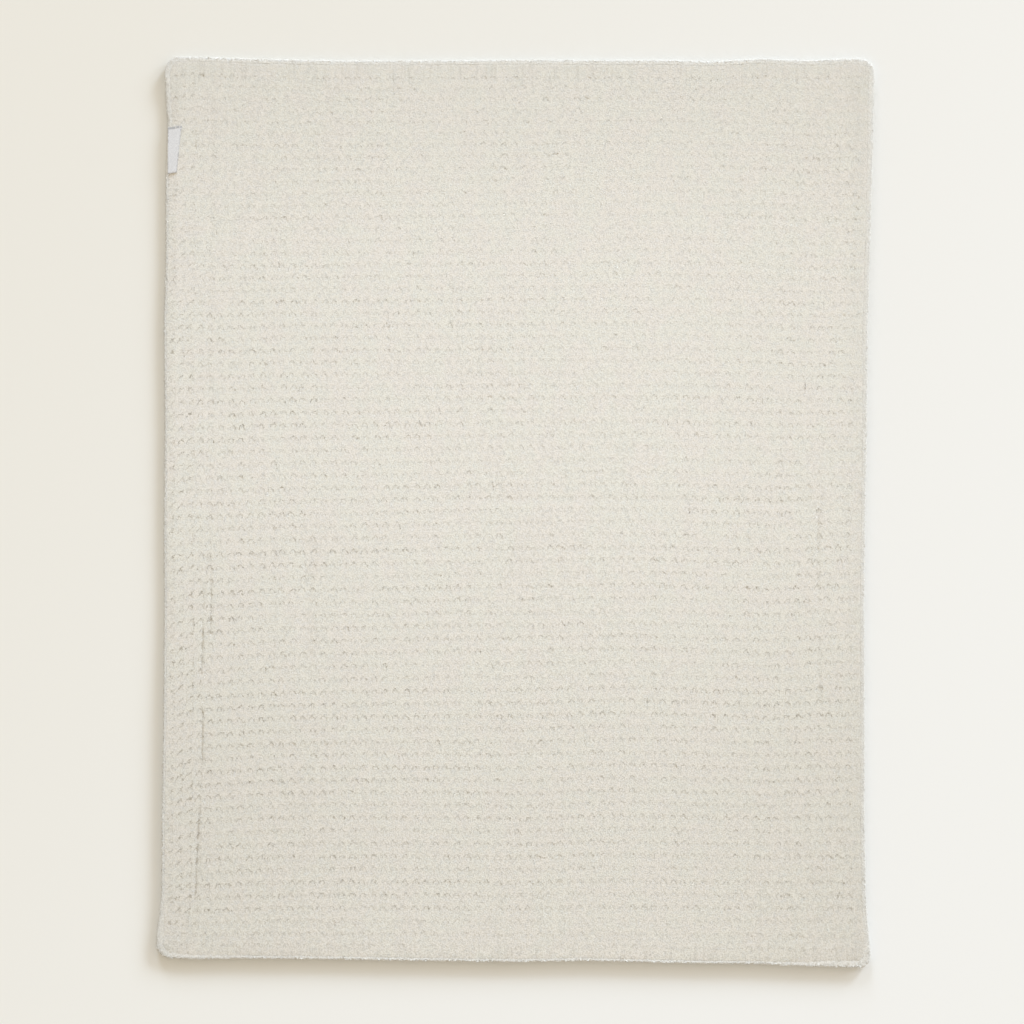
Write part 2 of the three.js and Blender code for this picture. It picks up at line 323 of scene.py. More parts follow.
@dataclass(frozen=True)
class Outline:
    """The plain rectangle that the blanket was cut to, and the uneven outline that it has."""

    width: float = 0.760
    length: float = 0.974
    corner_radius: float = 0.015
    corner_steps: int = 8
    low_edge: Span = Span(0.350, 0.374)
    low_top: Span = Span(0.440, 0.470)
    low_foot: Span = Span(0.080, 0.260)
    low_foot_loss: float = 0.8

    def low_side(self, u: Array, v: Array) -> Array:
        """How far a place belongs to the left edge, which lies flatter than the rest.

        Args:
            u: Places across the rectangle.
            v: Places up it.

        Returns:
            0 over most of the cloth, rising to 1 at its left edge.
        """
        below_top = 1 - smooth_rise(v, *self.low_top)
        above_foot = 1 - self.low_foot_loss * smooth_rise(-v, *self.low_foot)
        return smooth_rise(-u, *self.low_edge) * (below_top * above_foot)

    def rim_beside(self, u: Array, v: Array) -> Array:
        """Width of the rim at the nearer of the left and right edges."""
        left, right = along(SIDES, v, "left_rim"), along(SIDES, v, "right_rim")
        return np.where(u < 0, left, right)

    def rim_beyond(self, u: Array, v: Array) -> Array:
        """Width of the rim at the nearer of the bottom and top ends."""
        bottom, top = along(ENDS, u, "bottom_rim"), along(ENDS, u, "top_rim")
        return np.where(v < 0, bottom, top)

    def inset(self, u: Array, v: Array, share: Array, gap: float, reach: float) -> tuple[Array, Array]:
        """Draws points in from the rectangle's edges, by less the further in they are.

        Args:
            u: Places across the rectangle.
            v: Places up it.
            share: Share of the rim's width that a point on the edge moves.
            gap: Distance that it moves besides.
            reach: Distance from the edge past which points stay.

        Returns:
            The places across and up after the move.
        """
        beside = self.rim_beside(u, v) * share + gap
        beyond = self.rim_beyond(u, v) * share + gap
        near_side = np.clip(1 - (self.width / 2 - np.abs(u)) / reach, 0, 1)
        near_end = np.clip(1 - (self.length / 2 - np.abs(v)) / reach, 0, 1)
        return u - np.sign(u) * beside * near_side, v - np.sign(v) * beyond * near_end

    def round_corner(self, u: Array, v: Array) -> tuple[Array, Array]:
        """Rounds the rectangle's corners, keeping every ring around it at its distance.

        Args:
            u: Places across the rectangle.
            v: Places up it.

        Returns:
            The places across and up after the rounding.
        """
        centre_u = self.width / 2 - self.corner_radius
        centre_v = self.length / 2 - self.corner_radius
        over_u, over_v = np.abs(u) - centre_u, np.abs(v) - centre_v
        corner = (over_u > 0) & (over_v > 0)
        safe_u, safe_v = np.where(corner, over_u, 1.0), np.where(corner, over_v, 1.0)
        eighth = math.pi / 4
        flat = eighth * safe_v / safe_u
        steep = 2 * eighth - eighth * safe_u / safe_v
        angle = np.where(safe_u > safe_v, flat, steep)
        reach = np.maximum(over_u, over_v)
        round_u = np.sign(u) * (centre_u + reach * np.cos(angle))
        round_v = np.sign(v) * (centre_v + reach * np.sin(angle))
        return np.where(corner, round_u, u), np.where(corner, round_v, v)

    def lay(self, flat_u: Array, flat_v: Array) -> tuple[Array, Array]:
        """Moves points of the plain rectangle to where they lie on the uneven outline.

        Args:
            flat_u: Places across the rectangle.
            flat_v: Places up it.

        Returns:
            The places across and up as they lie.
        """
        u, v = self.round_corner(flat_u, flat_v)
        right, top = 0.5 + u / self.width, 0.5 + v / self.length
        x = u - along(SIDES, v, "left") * (1 - right) + along(SIDES, v, "right") * right
        y = v - along(ENDS, u, "bottom") * (1 - top) + along(ENDS, u, "top") * top
        return x, y

    def side(self, half: float, spacing: float) -> Array:
        """Points along one side of the rectangle, without the corner that ends it.

        Args:
            half: Half the side's length.
            spacing: Distance between points on its straight part.

        Returns:
            The places along the side, from its middle.
        """
        inner = half - self.corner_radius
        bend = np.linspace(-half, -inner, self.corner_steps + 1)[:-1]
        straight = np.linspace(-inner, inner, round(2 * inner / spacing) + 1)[:-1]
        return np.concatenate([bend, straight, -bend[::-1] - (half - inner) / self.corner_steps])

    def ring(self, spacing: float) -> tuple[Array, Array]:
        """Points once round the rectangle's edge, closer together at its corners.

        Args:
            spacing: Distance between points on the straight edges.

        Returns:
            The places across and up.
        """
        right, top = self.width / 2, self.length / 2
        across, up = self.side(right, spacing), self.side(top, spacing)
        u = np.concatenate([across, np.full(len(up), right), -across, np.full(len(up), -right)])
        v = np.concatenate([np.full(len(across), -top), up, np.full(len(across), top), -up])
        return u, v


OUTLINE = Outline()


def centre_shift(outline: Outline) -> Vector:
    """How far the plain rectangle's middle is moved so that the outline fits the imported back.

    Args:
        outline: The rectangle and its uneven outline.

    Returns:
        The move across and up.
    """
    x, y = outline.lay(*outline.ring(MEASURE_STEP))
    low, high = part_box("back_panel")
    middle = (low + high) / 2
    return Vector((middle.x - (x.min() + x.max()) / 2, middle.y - (y.min() + y.max()) / 2, 0.0))


SHIFT = centre_shift(OUTLINE)


def placed(u: Array, v: Array, z: Array) -> Array:
    """Points of the cloth as rows of x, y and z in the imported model's frame."""
    x, y = OUTLINE.lay(u, v)
    return np.stack([x + SHIFT.x, y + SHIFT.y, z + 0.0 * x], axis=-1)


def make_mesh(name: str, points: Array, faces: list[Array]) -> bpy.types.Object:
    """A smooth-shaded mesh object.

    Args:
        name: The piece's name.
        points: One row of x, y and z for each point.
        faces: Arrays of faces, each array with one number of corners.

    Returns:
        The new object, linked to the scene.
    """
    mesh = bpy.data.meshes.new(name)
    corners = np.concatenate([part.ravel() for part in faces]).astype(np.int32)
    counts = np.concatenate([np.full(len(part), part.shape[1]) for part in faces])
    starts = np.concatenate([[0], np.cumsum(counts)[:-1]]).astype(np.int32)
    mesh.vertices.add(len(points))
    mesh.vertices.foreach_set("co", points.astype(np.float32).ravel())
    mesh.loops.add(len(corners))
    mesh.loops.foreach_set("vertex_index", corners)
    mesh.polygons.add(len(counts))
    mesh.polygons.foreach_set("loop_start", starts)
    mesh.update(calc_edges=True)
    mesh.polygons.foreach_set("use_smooth", np.ones(len(counts), bool))
    mesh.validate()
    piece = bpy.data.objects.new(name, mesh)
    bpy.context.scene.collection.objects.link(piece)
    return piece


def scatter_light(piece: bpy.types.Object, share: float, low_share: float) -> None:
    """Turns a cloth's shading towards the sky, as fine pile spreads light whichever way it faces.

    Args:
        piece: The cloth, whose shape stays as it is.
        share: How far its normals turn upwards where it faces up, 0 not at all and 1 fully.
        low_share: The same at the flatter left edge.
    """
    mesh = piece.data
    normals = np.empty(len(mesh.vertices) * 3, np.float32)
    mesh.vertices.foreach_get("normal", normals)
    normals = normals.reshape(-1, 3)
    places = np.empty(len(mesh.vertices) * 3, np.float32)
    mesh.vertices.foreach_get("co", places)
    places = places.reshape(-1, 3)
    low = OUTLINE.low_side(places[:, :1], places[:, 1:2])
    turning = share + (low_share - share) * low
    weight = turning * np.clip((normals[:, 2:] + DOWNWARD) / DOWNWARD, 0, 1)
    turned = normals * (1 - weight) + np.array([0.0, 0.0, 1.0]) * weight
    turned /= np.linalg.norm(turned, axis=-1, keepdims=True)
    mesh.normals_split_custom_set_from_vertices(turned)


def mark_cells(piece: bpy.types.Object, cells: Array) -> None:
    """Keeps on each point of a cloth what its material reads there to place its painted shade.

    Args:
        piece: The cloth.
        cells: For each point its column, row and strength in the waffle, and how far it is creased.
    """
    cell = piece.data.attributes.new("cell", "FLOAT_VECTOR", "POINT")
    cell.data.foreach_set("vector", np.ascontiguousarray(cells[:, :3]).ravel())
    crease = piece.data.attributes.new("crease", "FLOAT", "POINT")
    crease.data.foreach_set("value", np.ascontiguousarray(cells[:, 3]))


def grid_faces(rows: int, columns: int, first: int = 0, closed: bool = False) -> Array:
    """Four-cornered faces between neighbouring points of a grid.

    Args:
        rows: Number of rows of points.
        columns: Number of points in a row.
        first: Number of the grid's first point.
        closed: Whether each row's last point joins its first.

    Returns:
        One row of four corners for each face.
    """
    row, column = np.meshgrid(
        np.arange(rows - 1), np.arange(columns if closed else columns - 1), indexing="ij"
    )
    after = (column + 1) % columns
    here, up = first + row * columns, first + (row + 1) * columns
    return np.stack([here + column, here + after, up + after, up + column], axis=-1).reshape(-1, 4)


class Graph:
    """Adds nodes to one shader tree and joins them."""

    # Blender's numbers for a colour mix's two inputs and its result
    FIRST, SECOND, MIXED = 6, 7, 2

    def __init__(self, tree: bpy.types.NodeTree) -> None:
        """Works on the given tree."""
        self.tree = tree

    def feed(self, socket: Socket, value: object) -> None:
        """Links a socket to an input, or sets the input's own value.

        Args:
            socket: The input.
            value: A socket, or a number, vector or colour.
        """
        if isinstance(value, bpy.types.NodeSocket):
            self.tree.links.new(value, socket)
        else:
            socket.default_value = value

    def add(
        self, kind: str, inputs: dict[str | int, object] | None = None, **settings: object
    ) -> bpy.types.Node:
        """Adds one node.

        Args:
            kind: Blender's name for the node's type.
            inputs: Values or sockets for its inputs, by name or number.
            **settings: The node's own settings.

        Returns:
            The new node.
        """
        node = self.tree.nodes.new(kind)
        for name, value in settings.items():
            setattr(node, name, value)
        for name, value in (inputs or {}).items():
            self.feed(node.inputs[name], value)
        return node

    def maths(self, operation: str, *values: object) -> Socket:
        """The result of one operation on numbers."""
        return self.add("ShaderNodeMath", dict(enumerate(values)), operation=operation).outputs[0]

    def vectors(self, operation: str, *values: object) -> Socket:
        """The result of one operation on vectors."""
        return self.add("ShaderNodeVectorMath", dict(enumerate(values)), operation=operation).outputs[0]

    def parts(self, vector: Socket) -> list[Socket]:
        """A vector's three parts."""
        return self.add("ShaderNodeSeparateXYZ", {0: vector}).outputs[:3]

    def place(self) -> Socket:
        """Places on the blanket, in metres."""
        return self.add("ShaderNodeTexCoord").outputs["Object"]

    def spread(self, value: object, span: Span, first: object = 0.0, last: object = 1.0) -> Socket:
        """A value smoothly brought from a span to between two others, and held there.

        Args:
            value: The value.
            span: Where it starts and ends.
            first: The result at the span's start and before it.
            last: The result at the span's end and past it.

        Returns:
            The result.
        """
        limits = {"From Min": span.start, "From Max": span.end, "To Min": first, "To Max": last}
        inputs = {"Value": value, **limits}
        return self.add("ShaderNodeMapRange", inputs, interpolation_type="SMOOTHSTEP").outputs[0]

    def mix(self, share: object, first: object, second: object) -> Socket:
        """A colour between two others."""
        inputs = {"Factor": share, self.FIRST: first, self.SECOND: second}
        return self.add("ShaderNodeMix", inputs, data_type="RGBA").outputs[self.MIXED]

    def noise(self, place: Socket, scale: object, detail: float = 1.0, roughness: float = 0.5) -> Socket:
        """Soft noise at a place, around one half."""
        values = {"Vector": place, "Scale": scale, "Detail": detail, "Roughness": roughness}
        return self.add("ShaderNodeTexNoise", values).outputs["Fac"]

    def surface(self, inputs: dict[str, object]) -> None:
        """Ends a material's tree with a Principled BSDF of the given inputs."""
        shader = self.add("ShaderNodeBsdfPrincipled", inputs)
        self.add("ShaderNodeOutputMaterial", {"Surface": shader.outputs["BSDF"]})


def opaque(colour: Colour) -> tuple[float, float, float, float]:
    """The colour with its fourth number."""
    return (*colour, 1.0)


def new_material(name: str) -> tuple[bpy.types.Material, Graph]:
    """An empty material, and the graph to fill it with.

    Args:
        name: The material's name.

    Returns:
        The material and its graph.
    """
    material = bpy.data.materials.new(name)
    material.use_nodes = True
    material.node_tree.nodes.clear()
    return material, Graph(material.node_tree)


class SharedGroup:
    """A shader group that is built once and placed in each material with its own values."""

    NAME = ""
    INPUTS: tuple[str, ...] = ()
    OUTPUTS: tuple[str, ...] = ()

    @classmethod
    def fill(cls, graph: Graph, given: bpy.types.Node) -> dict[str, Socket]:
        """Adds the group's nodes, and gives a socket for each of its outputs by name."""
        raise NotImplementedError

    @classmethod
    def tree(cls) -> bpy.types.NodeTree:
        """The group's tree, built when it is first asked for.

        Returns:
            A tree with the class's inputs and outputs.
        """
        tree = bpy.data.node_groups.get(cls.NAME)
        if tree:
            return tree
        tree = bpy.data.node_groups.new(cls.NAME, "ShaderNodeTree")
        for name in cls.INPUTS:
            tree.interface.new_socket(name=name, in_out="INPUT", socket_type="NodeSocketFloat")
        for name in cls.OUTPUTS:
            tree.interface.new_socket(name=name, in_out="OUTPUT", socket_type="NodeSocketFloat")
        graph = Graph(tree)
        graph.add("NodeGroupOutput", cls.fill(graph, graph.add("NodeGroupInput")))
        return tree

    @classmethod
    def place(cls, graph: Graph, values: dict[str, float]) -> bpy.types.Node:
        """Adds the group to a material with its own values."""
        return graph.add("ShaderNodeGroup", values, node_tree=cls.tree())


class PileGroup(SharedGroup):
    """Short curled pile: how high it stands, and the painted shade where it opens into hollows."""

    NAME = "fleece_pile"
    CURL = "Curls per Metre"
    FIBRE = "Fibres per Metre"
    SHARE = "Curl Share"
    INPUTS = (CURL, FIBRE, SHARE)
    OUTPUTS = ("Height", "Painted Hollow Shade")
    CURL_SPAN = Span(0.3, 0.7)
    FIBRE_ROUGHNESS = 0.6
    # Pile heights over which the painted shade in its hollows goes from none to full
    HOLLOW_SPAN = Span(0.62, 0.34)

    @classmethod
    def fill(cls, graph: Graph, given: bpy.types.Node) -> dict[str, Socket]:
        """Adds the group's nodes.

        Args:
            graph: The group's graph.
            given: The node that gives the group's inputs.

        Returns:
            The height of the pile, and the painted shade in its hollows.
        """
        place = graph.place()
        share = given.outputs[cls.SHARE]
        curls = graph.spread(graph.noise(place, given.outputs[cls.CURL]), cls.CURL_SPAN)
        fibres = graph.noise(place, given.outputs[cls.FIBRE], roughness=cls.FIBRE_ROUGHNESS)
        loose = graph.maths("MULTIPLY", fibres, graph.maths("SUBTRACT", 1.0, share))
        height = graph.maths("MULTIPLY_ADD", curls, share, loose)
        return {"Height": height, "Painted Hollow Shade": graph.spread(height, cls.HOLLOW_SPAN)}


class ShadeGroup(SharedGroup):
    """Slow changes over a fleece: painted shade at its sides, ends and edges, its foot end and its tint.
    """

    NAME = "painted_slow_shade"
    SIDES = "Painted Side Shade"
    FOOT = "Painted Foot Shade"
    HEAD = "Painted Head Shade"
    EDGE = "Painted Right and Top Edge Shade"
    LEFT = "Painted Left Edge Shade"
    INPUTS = (SIDES, FOOT, HEAD, EDGE, LEFT)
    OUTPUTS = ("Shade", "Foot End", "Tint")
    MIDDLE = 0.020
    SIDE_SPAN = Span(0.10, 0.40)
    FOOT_SPAN = Span(0.10, -0.42)
    HEAD_SPAN = Span(0.26, 0.47)
    RIGHT_EDGE = Span(0.352, 0.376)
    TOP_EDGE = Span(0.468, 0.484)
    LEFT_EDGE = Span(-0.366, -0.380)
    TINTS = 45.0
    TINT_DETAIL = 2.0
    TINT_SPAN = Span(0.35, 0.65)

    @classmethod
    def fill(cls, graph: Graph, given: bpy.types.Node) -> dict[str, Socket]:
        """Adds the group's nodes.

        Args:
            graph: The group's graph.
            given: The node that gives the group's inputs.

        Returns:
            The share of the painted shade colour, the foot end's mask and the share of the warmer tint.
        """
        place = graph.place()
        x, y, _ = graph.parts(place)
        depth = given.outputs
        # Painted shade: darker towards the sides, the two ends and the edges
        foot = graph.spread(y, cls.FOOT_SPAN)
        aside = graph.maths("ABSOLUTE", graph.maths("SUBTRACT", x, cls.MIDDLE))
        sides = graph.spread(aside, cls.SIDE_SPAN, 0.0, depth[cls.SIDES])
        sides = graph.maths("MULTIPLY", sides, graph.maths("ADD", foot, 1.0))
        head = graph.spread(y, cls.HEAD_SPAN, 0.0, depth[cls.HEAD])
        ends = graph.maths("MULTIPLY_ADD", foot, depth[cls.FOOT], head)
        right = graph.spread(x, cls.RIGHT_EDGE, 0.0, depth[cls.EDGE])
        top = graph.spread(y, cls.TOP_EDGE, 0.0, depth[cls.EDGE])
        left = graph.spread(x, cls.LEFT_EDGE, 0.0, depth[cls.LEFT])
        edges = graph.maths("ADD", graph.maths("MAXIMUM", right, top), left)
        shade = graph.maths("ADD", graph.maths("ADD", sides, ends), edges)
        tint = graph.spread(graph.noise(place, cls.TINTS, cls.TINT_DETAIL), cls.TINT_SPAN)
        return {"Shade": shade, "Foot End": foot, "Tint": tint}


@dataclass(frozen=True)
class PaintedWaffleShade:
    """The waffle's dark lines of painted shade: an arch in each cell, the creases, and pleats by the
    ends.
    """

    # Colour of the painted shade in the arches, creases and pleats
    colour: Colour = (0.430, 0.394, 0.324)
    arch_depth: float = 0.395
    arch_foot: float = 0.39
    arch_half: float = 0.25
    arch_rise: float = 0.19
    arch_square: float = 2.7
    arch_width: Span = Span(0.31, 0.10)
    arch_legs: Span = Span(-0.17, 0.06)
    sways: float = 300.0
    sway: float = 0.42
    strip: Span = Span(-0.334, -0.346)
    strip_lean: float = 1.3
    strip_rise: float = 0.32
    strip_leg: Span = Span(-0.12, 0.06)
    patches: float = 480.0
    patch_span: Span = Span(0.36, 0.62)
    patch_share: Span = Span(0.25, 1.1)
    crease_depth: float = 0.62
    crease_span: Span = Span(0.40, 1.0)
    dots: float = 150.0
    dot_span: Span = Span(0.38, 0.60)
    dot_share: Span = Span(0.22, 1.0)
    pleat_depth: float = 0.20
    pleats_across: float = 300.0
    pleats_up: float = 30.0
    pleat_span: Span = Span(0.52, 0.72)
    pleat_end: Span = Span(0.440, 0.474)

    def cells(self, graph: Graph, place: Socket) -> list[Socket]:
        """Column, row and strength of the cell at each place, the first two a little uneven.

        Args:
            graph: The material's graph.
            place: Places on the blanket.

        Returns:
            The three numbers.
        """
        noise = {"Vector": place, "Scale": self.sways, "Detail": 1.0}
        sway = graph.add("ShaderNodeTexNoise", noise).outputs["Color"]
        cell = graph.add("ShaderNodeAttribute", attribute_name="cell").outputs["Vector"]
        cell = graph.vectors("MULTIPLY_ADD", sway, (self.sway, self.sway, 0.0), cell)
        return graph.parts(graph.vectors("ADD", cell, (-self.sway / 2, -self.sway / 2, 0.0)))

    def arches(self, graph: Graph, place: Socket) -> Socket:
        """Painted shade on the walls of the waffle's cells, leaning in the strip at the left edge.

        Args:
            graph: The material's graph.
            place: Places on the blanket.

        Returns:
            How dark the painted arch shade is.
        """
        column, row, strength = self.cells(graph, place)
        above = graph.maths("SUBTRACT", self.arch_foot, graph.maths("FRACT", row))
        strip = graph.spread(graph.parts(place)[0], self.strip)
        rise = graph.maths("MULTIPLY_ADD", strip, self.strip_rise - self.arch_rise, self.arch_rise)
        lean = graph.maths("MULTIPLY", graph.maths("MULTIPLY", strip, self.strip_lean), above)
        part = graph.maths("FRACT", graph.maths("SUBTRACT", column, lean))
        part = graph.maths("SUBTRACT", part, 0.5)
        aside = graph.maths("DIVIDE", graph.maths("ABSOLUTE", part), self.arch_half)
        upright = graph.maths("MAXIMUM", graph.maths("DIVIDE", above, rise), 0.0)
        across = graph.maths("POWER", aside, self.arch_square)
        upward = graph.maths("POWER", upright, self.arch_square)
        reach = graph.maths("POWER", graph.maths("ADD", across, upward), 1 / self.arch_square)
        away = graph.maths("ABSOLUTE", graph.maths("SUBTRACT", reach, 1.0))
        band = graph.spread(away, self.arch_width)
        band = graph.maths("MULTIPLY", band, graph.spread(above, self.arch_legs))
        far_leg = graph.maths("MULTIPLY", strip, graph.spread(part, self.strip_leg))
        band = graph.maths("MULTIPLY", band, graph.maths("SUBTRACT", 1.0, far_leg))
        patch = graph.spread(graph.noise(place, self.patches), self.patch_span, *self.patch_share)
        band = graph.maths("MULTIPLY", graph.maths("MULTIPLY", band, strength), patch)
        return graph.maths("MULTIPLY", band, self.arch_depth)

    def creases(self, graph: Graph, place: Socket) -> Socket:
        """Painted shade in the creases, in uneven dots.

        Args:
            graph: The material's graph.
            place: Places on the blanket.

        Returns:
            How dark the creases are.
        """
        crease = graph.add("ShaderNodeAttribute", attribute_name="crease").outputs["Fac"]
        dotted = graph.spread(graph.noise(place, self.dots), self.dot_span, *self.dot_share)
        pressed = graph.spread(crease, self.crease_span, 0.0, self.crease_depth)
        return graph.maths("MULTIPLY", pressed, dotted)

    def pleats(self, graph: Graph, place: Socket) -> Socket:
        """Painted shade of fine pleats up and down the cloth, only by its two ends.

        Args:
            graph: The material's graph.
            place: Places on the blanket.

        Returns:
            How dark the painted pleat shade is.
        """
        y = graph.parts(place)[1]
        drawn = graph.vectors("MULTIPLY", place, (1.0, self.pleats_up / self.pleats_across, 0.0))
        fold = graph.spread(graph.noise(drawn, self.pleats_across), self.pleat_span)
        near_end = graph.spread(graph.maths("ABSOLUTE", y), self.pleat_end, 0.0, self.pleat_depth)
        return graph.maths("MULTIPLY", fold, near_end)

    def mask(self, graph: Graph, place: Socket) -> Socket:
        """How dark the darkest painted shade of the lines is at each place."""
        pressed = graph.maths("MAXIMUM", self.creases(graph, place), self.pleats(graph, place))
        return graph.maths("MAXIMUM", self.arches(graph, place), pressed)


@dataclass(frozen=True)
class FleeceFinish:
    """Short off-white pile, with painted shade in its hollows and towards its edges, and slow changes of
    tint.
    """

    name: str
    # Painted shade of the waffle's arches, creases and pleats, on the face only
    lines: PaintedWaffleShade | None = None
    light: Colour = (0.791, 0.767, 0.685)
    # Colour that the painted shade of the hollows, sides, ends and edges darkens towards
    deep: Colour = (0.548, 0.512, 0.432)
    warm: Colour = (0.801, 0.757, 0.685)
    curls: float = 600.0
    fibres: float = 1080.0
    curl_share: float = 0.25
    curl_height: float = 0.00018
    # How dark the painted shade in the pile's hollows is, and how much it grows towards the foot end
    painted_hollow_shade: float = 0.49
    painted_foot_hollow_gain: float = 0.50
    # Strength of the slow painted shade at the sides, the two ends and the edges
    painted_side_shade: float = 0.10
    painted_foot_shade: float = 0.18
    painted_head_shade: float = 0.18
    painted_edge_shade: float = 0.09
    painted_left_shade: float = 0.0

    def pile(self, graph: Graph) -> bpy.types.Node:
        """Adds the pile's group with this finish's values."""
        values = {PileGroup.CURL: self.curls, PileGroup.FIBRE: self.fibres}
        return PileGroup.place(graph, {**values, PileGroup.SHARE: self.curl_share})

    def painted_slow_shade(self, graph: Graph) -> bpy.types.Node:
        """Adds the group of the slow painted shade and the tint with this finish's values.

        Args:
            graph: The material's graph.

        Returns:
            The group's node.
        """
        values = {
            ShadeGroup.SIDES: self.painted_side_shade,
            ShadeGroup.FOOT: self.painted_foot_shade,
            ShadeGroup.HEAD: self.painted_head_shade,
            ShadeGroup.EDGE: self.painted_edge_shade,
            ShadeGroup.LEFT: self.painted_left_shade,
        }
        return ShadeGroup.place(graph, values)

    def material(self) -> bpy.types.Material:
        """Builds the material.

        Returns:
            The new material.
        """
        material, graph = new_material(self.name)
        pile, slow = self.pile(graph), self.painted_slow_shade(graph)
        # Painted shade in the pile's hollows, stronger towards the foot end
        hollow_toward_foot = (slow.outputs["Foot End"], self.painted_hollow_shade * self.painted_foot_hollow_gain, self.painted_hollow_shade)
        painted_hollow_shade = graph.maths("MULTIPLY", pile.outputs["Painted Hollow Shade"], graph.maths("MULTIPLY_ADD", *hollow_toward_foot))
        pale = graph.mix(slow.outputs["Tint"], opaque(self.light), opaque(self.warm))
        # Painted shade towards the sides, ends and edges
        pale = graph.mix(slow.outputs["Shade"], pale, opaque(self.deep))
        colour = graph.mix(painted_hollow_shade, pale, opaque(self.deep))
        # Painted shade in the waffle's arches, creases and pleats
        if self.lines:
            mask = self.lines.mask(graph, graph.place())
            colour = graph.mix(mask, colour, opaque(self.lines.colour))
        relief = {"Height": pile.outputs["Height"], "Strength": 1.0, "Distance": self.curl_height}
        graph.surface(
            {
                "Base Color": colour,
                "Roughness": 0.95,
                "Specular IOR Level": 0.2,
                "Sheen Weight": 0.15,
                "Sheen Roughness": 0.5,
                "Normal": graph.add("ShaderNodeBump", relief).outputs["Normal"],
            }
        )
        return material


@dataclass(frozen=True)
class SatinFinish:
    """Bluish white woven satin, with fine ribs across the ribbon and painted shade at its ends and long
    edges.
    """

    name: str = "label_satin"
    light: Colour = (0.715, 0.712, 0.708)
    deep: Colour = (0.560, 0.558, 0.560)
    # Colour of the painted shade at the ribbon's ends and along its long edges
    line: Colour = (0.400, 0.395, 0.390)
    ribs: float = 2200.0
    rib_bend: float = 0.6
    rib_height: float = 0.0001
    threads: float = 900.0
    thread_span: Span = Span(0.35, 0.65)
    thread_depth: float = 0.55
    # Where the painted shade lies at the two ends
    top_end: Span = Span(0.945, 0.965)
    low_end: Span = Span(0.030, 0.015)
    low_end_depth: float = 0.3
    # Band along the long edges where dots of painted shade lie
    seam: Span = Span(0.40, 0.46)
    shade_dots: float = 500.0
    shade_dot_span: Span = Span(0.42, 0.58)
    shade_dot_depth: Span = Span(0.1, 0.8)

    def lines(self, graph: Graph, place: Socket) -> Socket:
        """Where the painted shade lies at the ribbon's ends and in dots along its long edges.

        Args:
            graph: The material's graph.
            place: Places on the blanket.

        Returns:
            How dark they are.
        """
        ribbon = graph.add("ShaderNodeAttribute", attribute_name="ribbon").outputs["Vector"]
        across, up, _ = graph.parts(ribbon)
        # Painted shade at the two ends, and in dots along the long edges
        low_end = graph.spread(up, self.low_end, 0.0, self.low_end_depth)
        ends = graph.maths("MAXIMUM", graph.spread(up, self.top_end), low_end)
        aside = graph.maths("ABSOLUTE", graph.maths("SUBTRACT", across, 0.5))
        dotted = graph.spread(graph.noise(place, self.shade_dots), self.shade_dot_span, *self.shade_dot_depth)
        shade_dots = graph.maths("MULTIPLY", graph.spread(aside, self.seam), dotted)
        return graph.maths("MAXIMUM", ends, shade_dots)

    def material(self) -> bpy.types.Material:
        """Builds the material.

        Returns:
            The new material.
        """
        material, graph = new_material(self.name)
        place = graph.place()
        wave = {"Vector": place, "Scale": self.ribs / (2 * math.pi)}
        wave |= {"Distortion": self.rib_bend, "Detail": 1.0}
        ribs = graph.add("ShaderNodeTexWave", wave, wave_type="BANDS", bands_direction="Y")
        relief = {"Height": ribs.outputs["Fac"], "Strength": 0.5, "Distance": self.rib_height}
        threads = graph.spread(graph.noise(place, self.threads), self.thread_span)
        threads = graph.maths("MULTIPLY", threads, self.thread_depth)
        colour = graph.mix(threads, opaque(self.light), opaque(self.deep))
        colour = graph.mix(self.lines(graph, place), colour, opaque(self.line))
        graph.surface(
            {
                "Base Color": colour,
                "Roughness": 0.45,
                "Sheen Weight": 0.2,
                "Normal": graph.add("ShaderNodeBump", relief).outputs["Normal"],
            }
        )
        return material


@dataclass(frozen=True)
class PaperFinish:
    """Pale paper, with painted shade that makes it slowly darker and warmer towards one side."""

    name: str = "pale_paper"
    pale: Colour = (0.805, 0.800, 0.765)
    # Colour that the painted shade darkens the floor towards
    warm: Colour = (0.755, 0.728, 0.652)
    slant: float = -0.47
    painted_shade_span: Span = Span(-1.1, 0.75)

    def material(self) -> bpy.types.Material:
        """Builds the material.

        Returns:
            The new material.
        """
        material, graph = new_material(self.name)
        x, y, _ = graph.parts(graph.place())
        # Painted shade: the floor slowly darker and warmer towards one side
        tint = graph.spread(graph.maths("MULTIPLY_ADD", y, self.slant, x), self.painted_shade_span)
        colour = graph.mix(tint, opaque(self.warm), opaque(self.pale))
        graph.surface({"Base Color": colour, "Roughness": 0.9})
        return material


def between_lines(part: Array, lines: tuple[float, ...], values: tuple[float, ...]) -> Array:
    """Values at parts of a cell, which ends as it starts."""
    return np.interp(part, (*lines, 1.0), (*values, values[0]))


class FineColumns(NamedTuple):
    """A run of column numbers where the face's mesh is finer, for a fold."""

    first: float
    last: float
    step: float


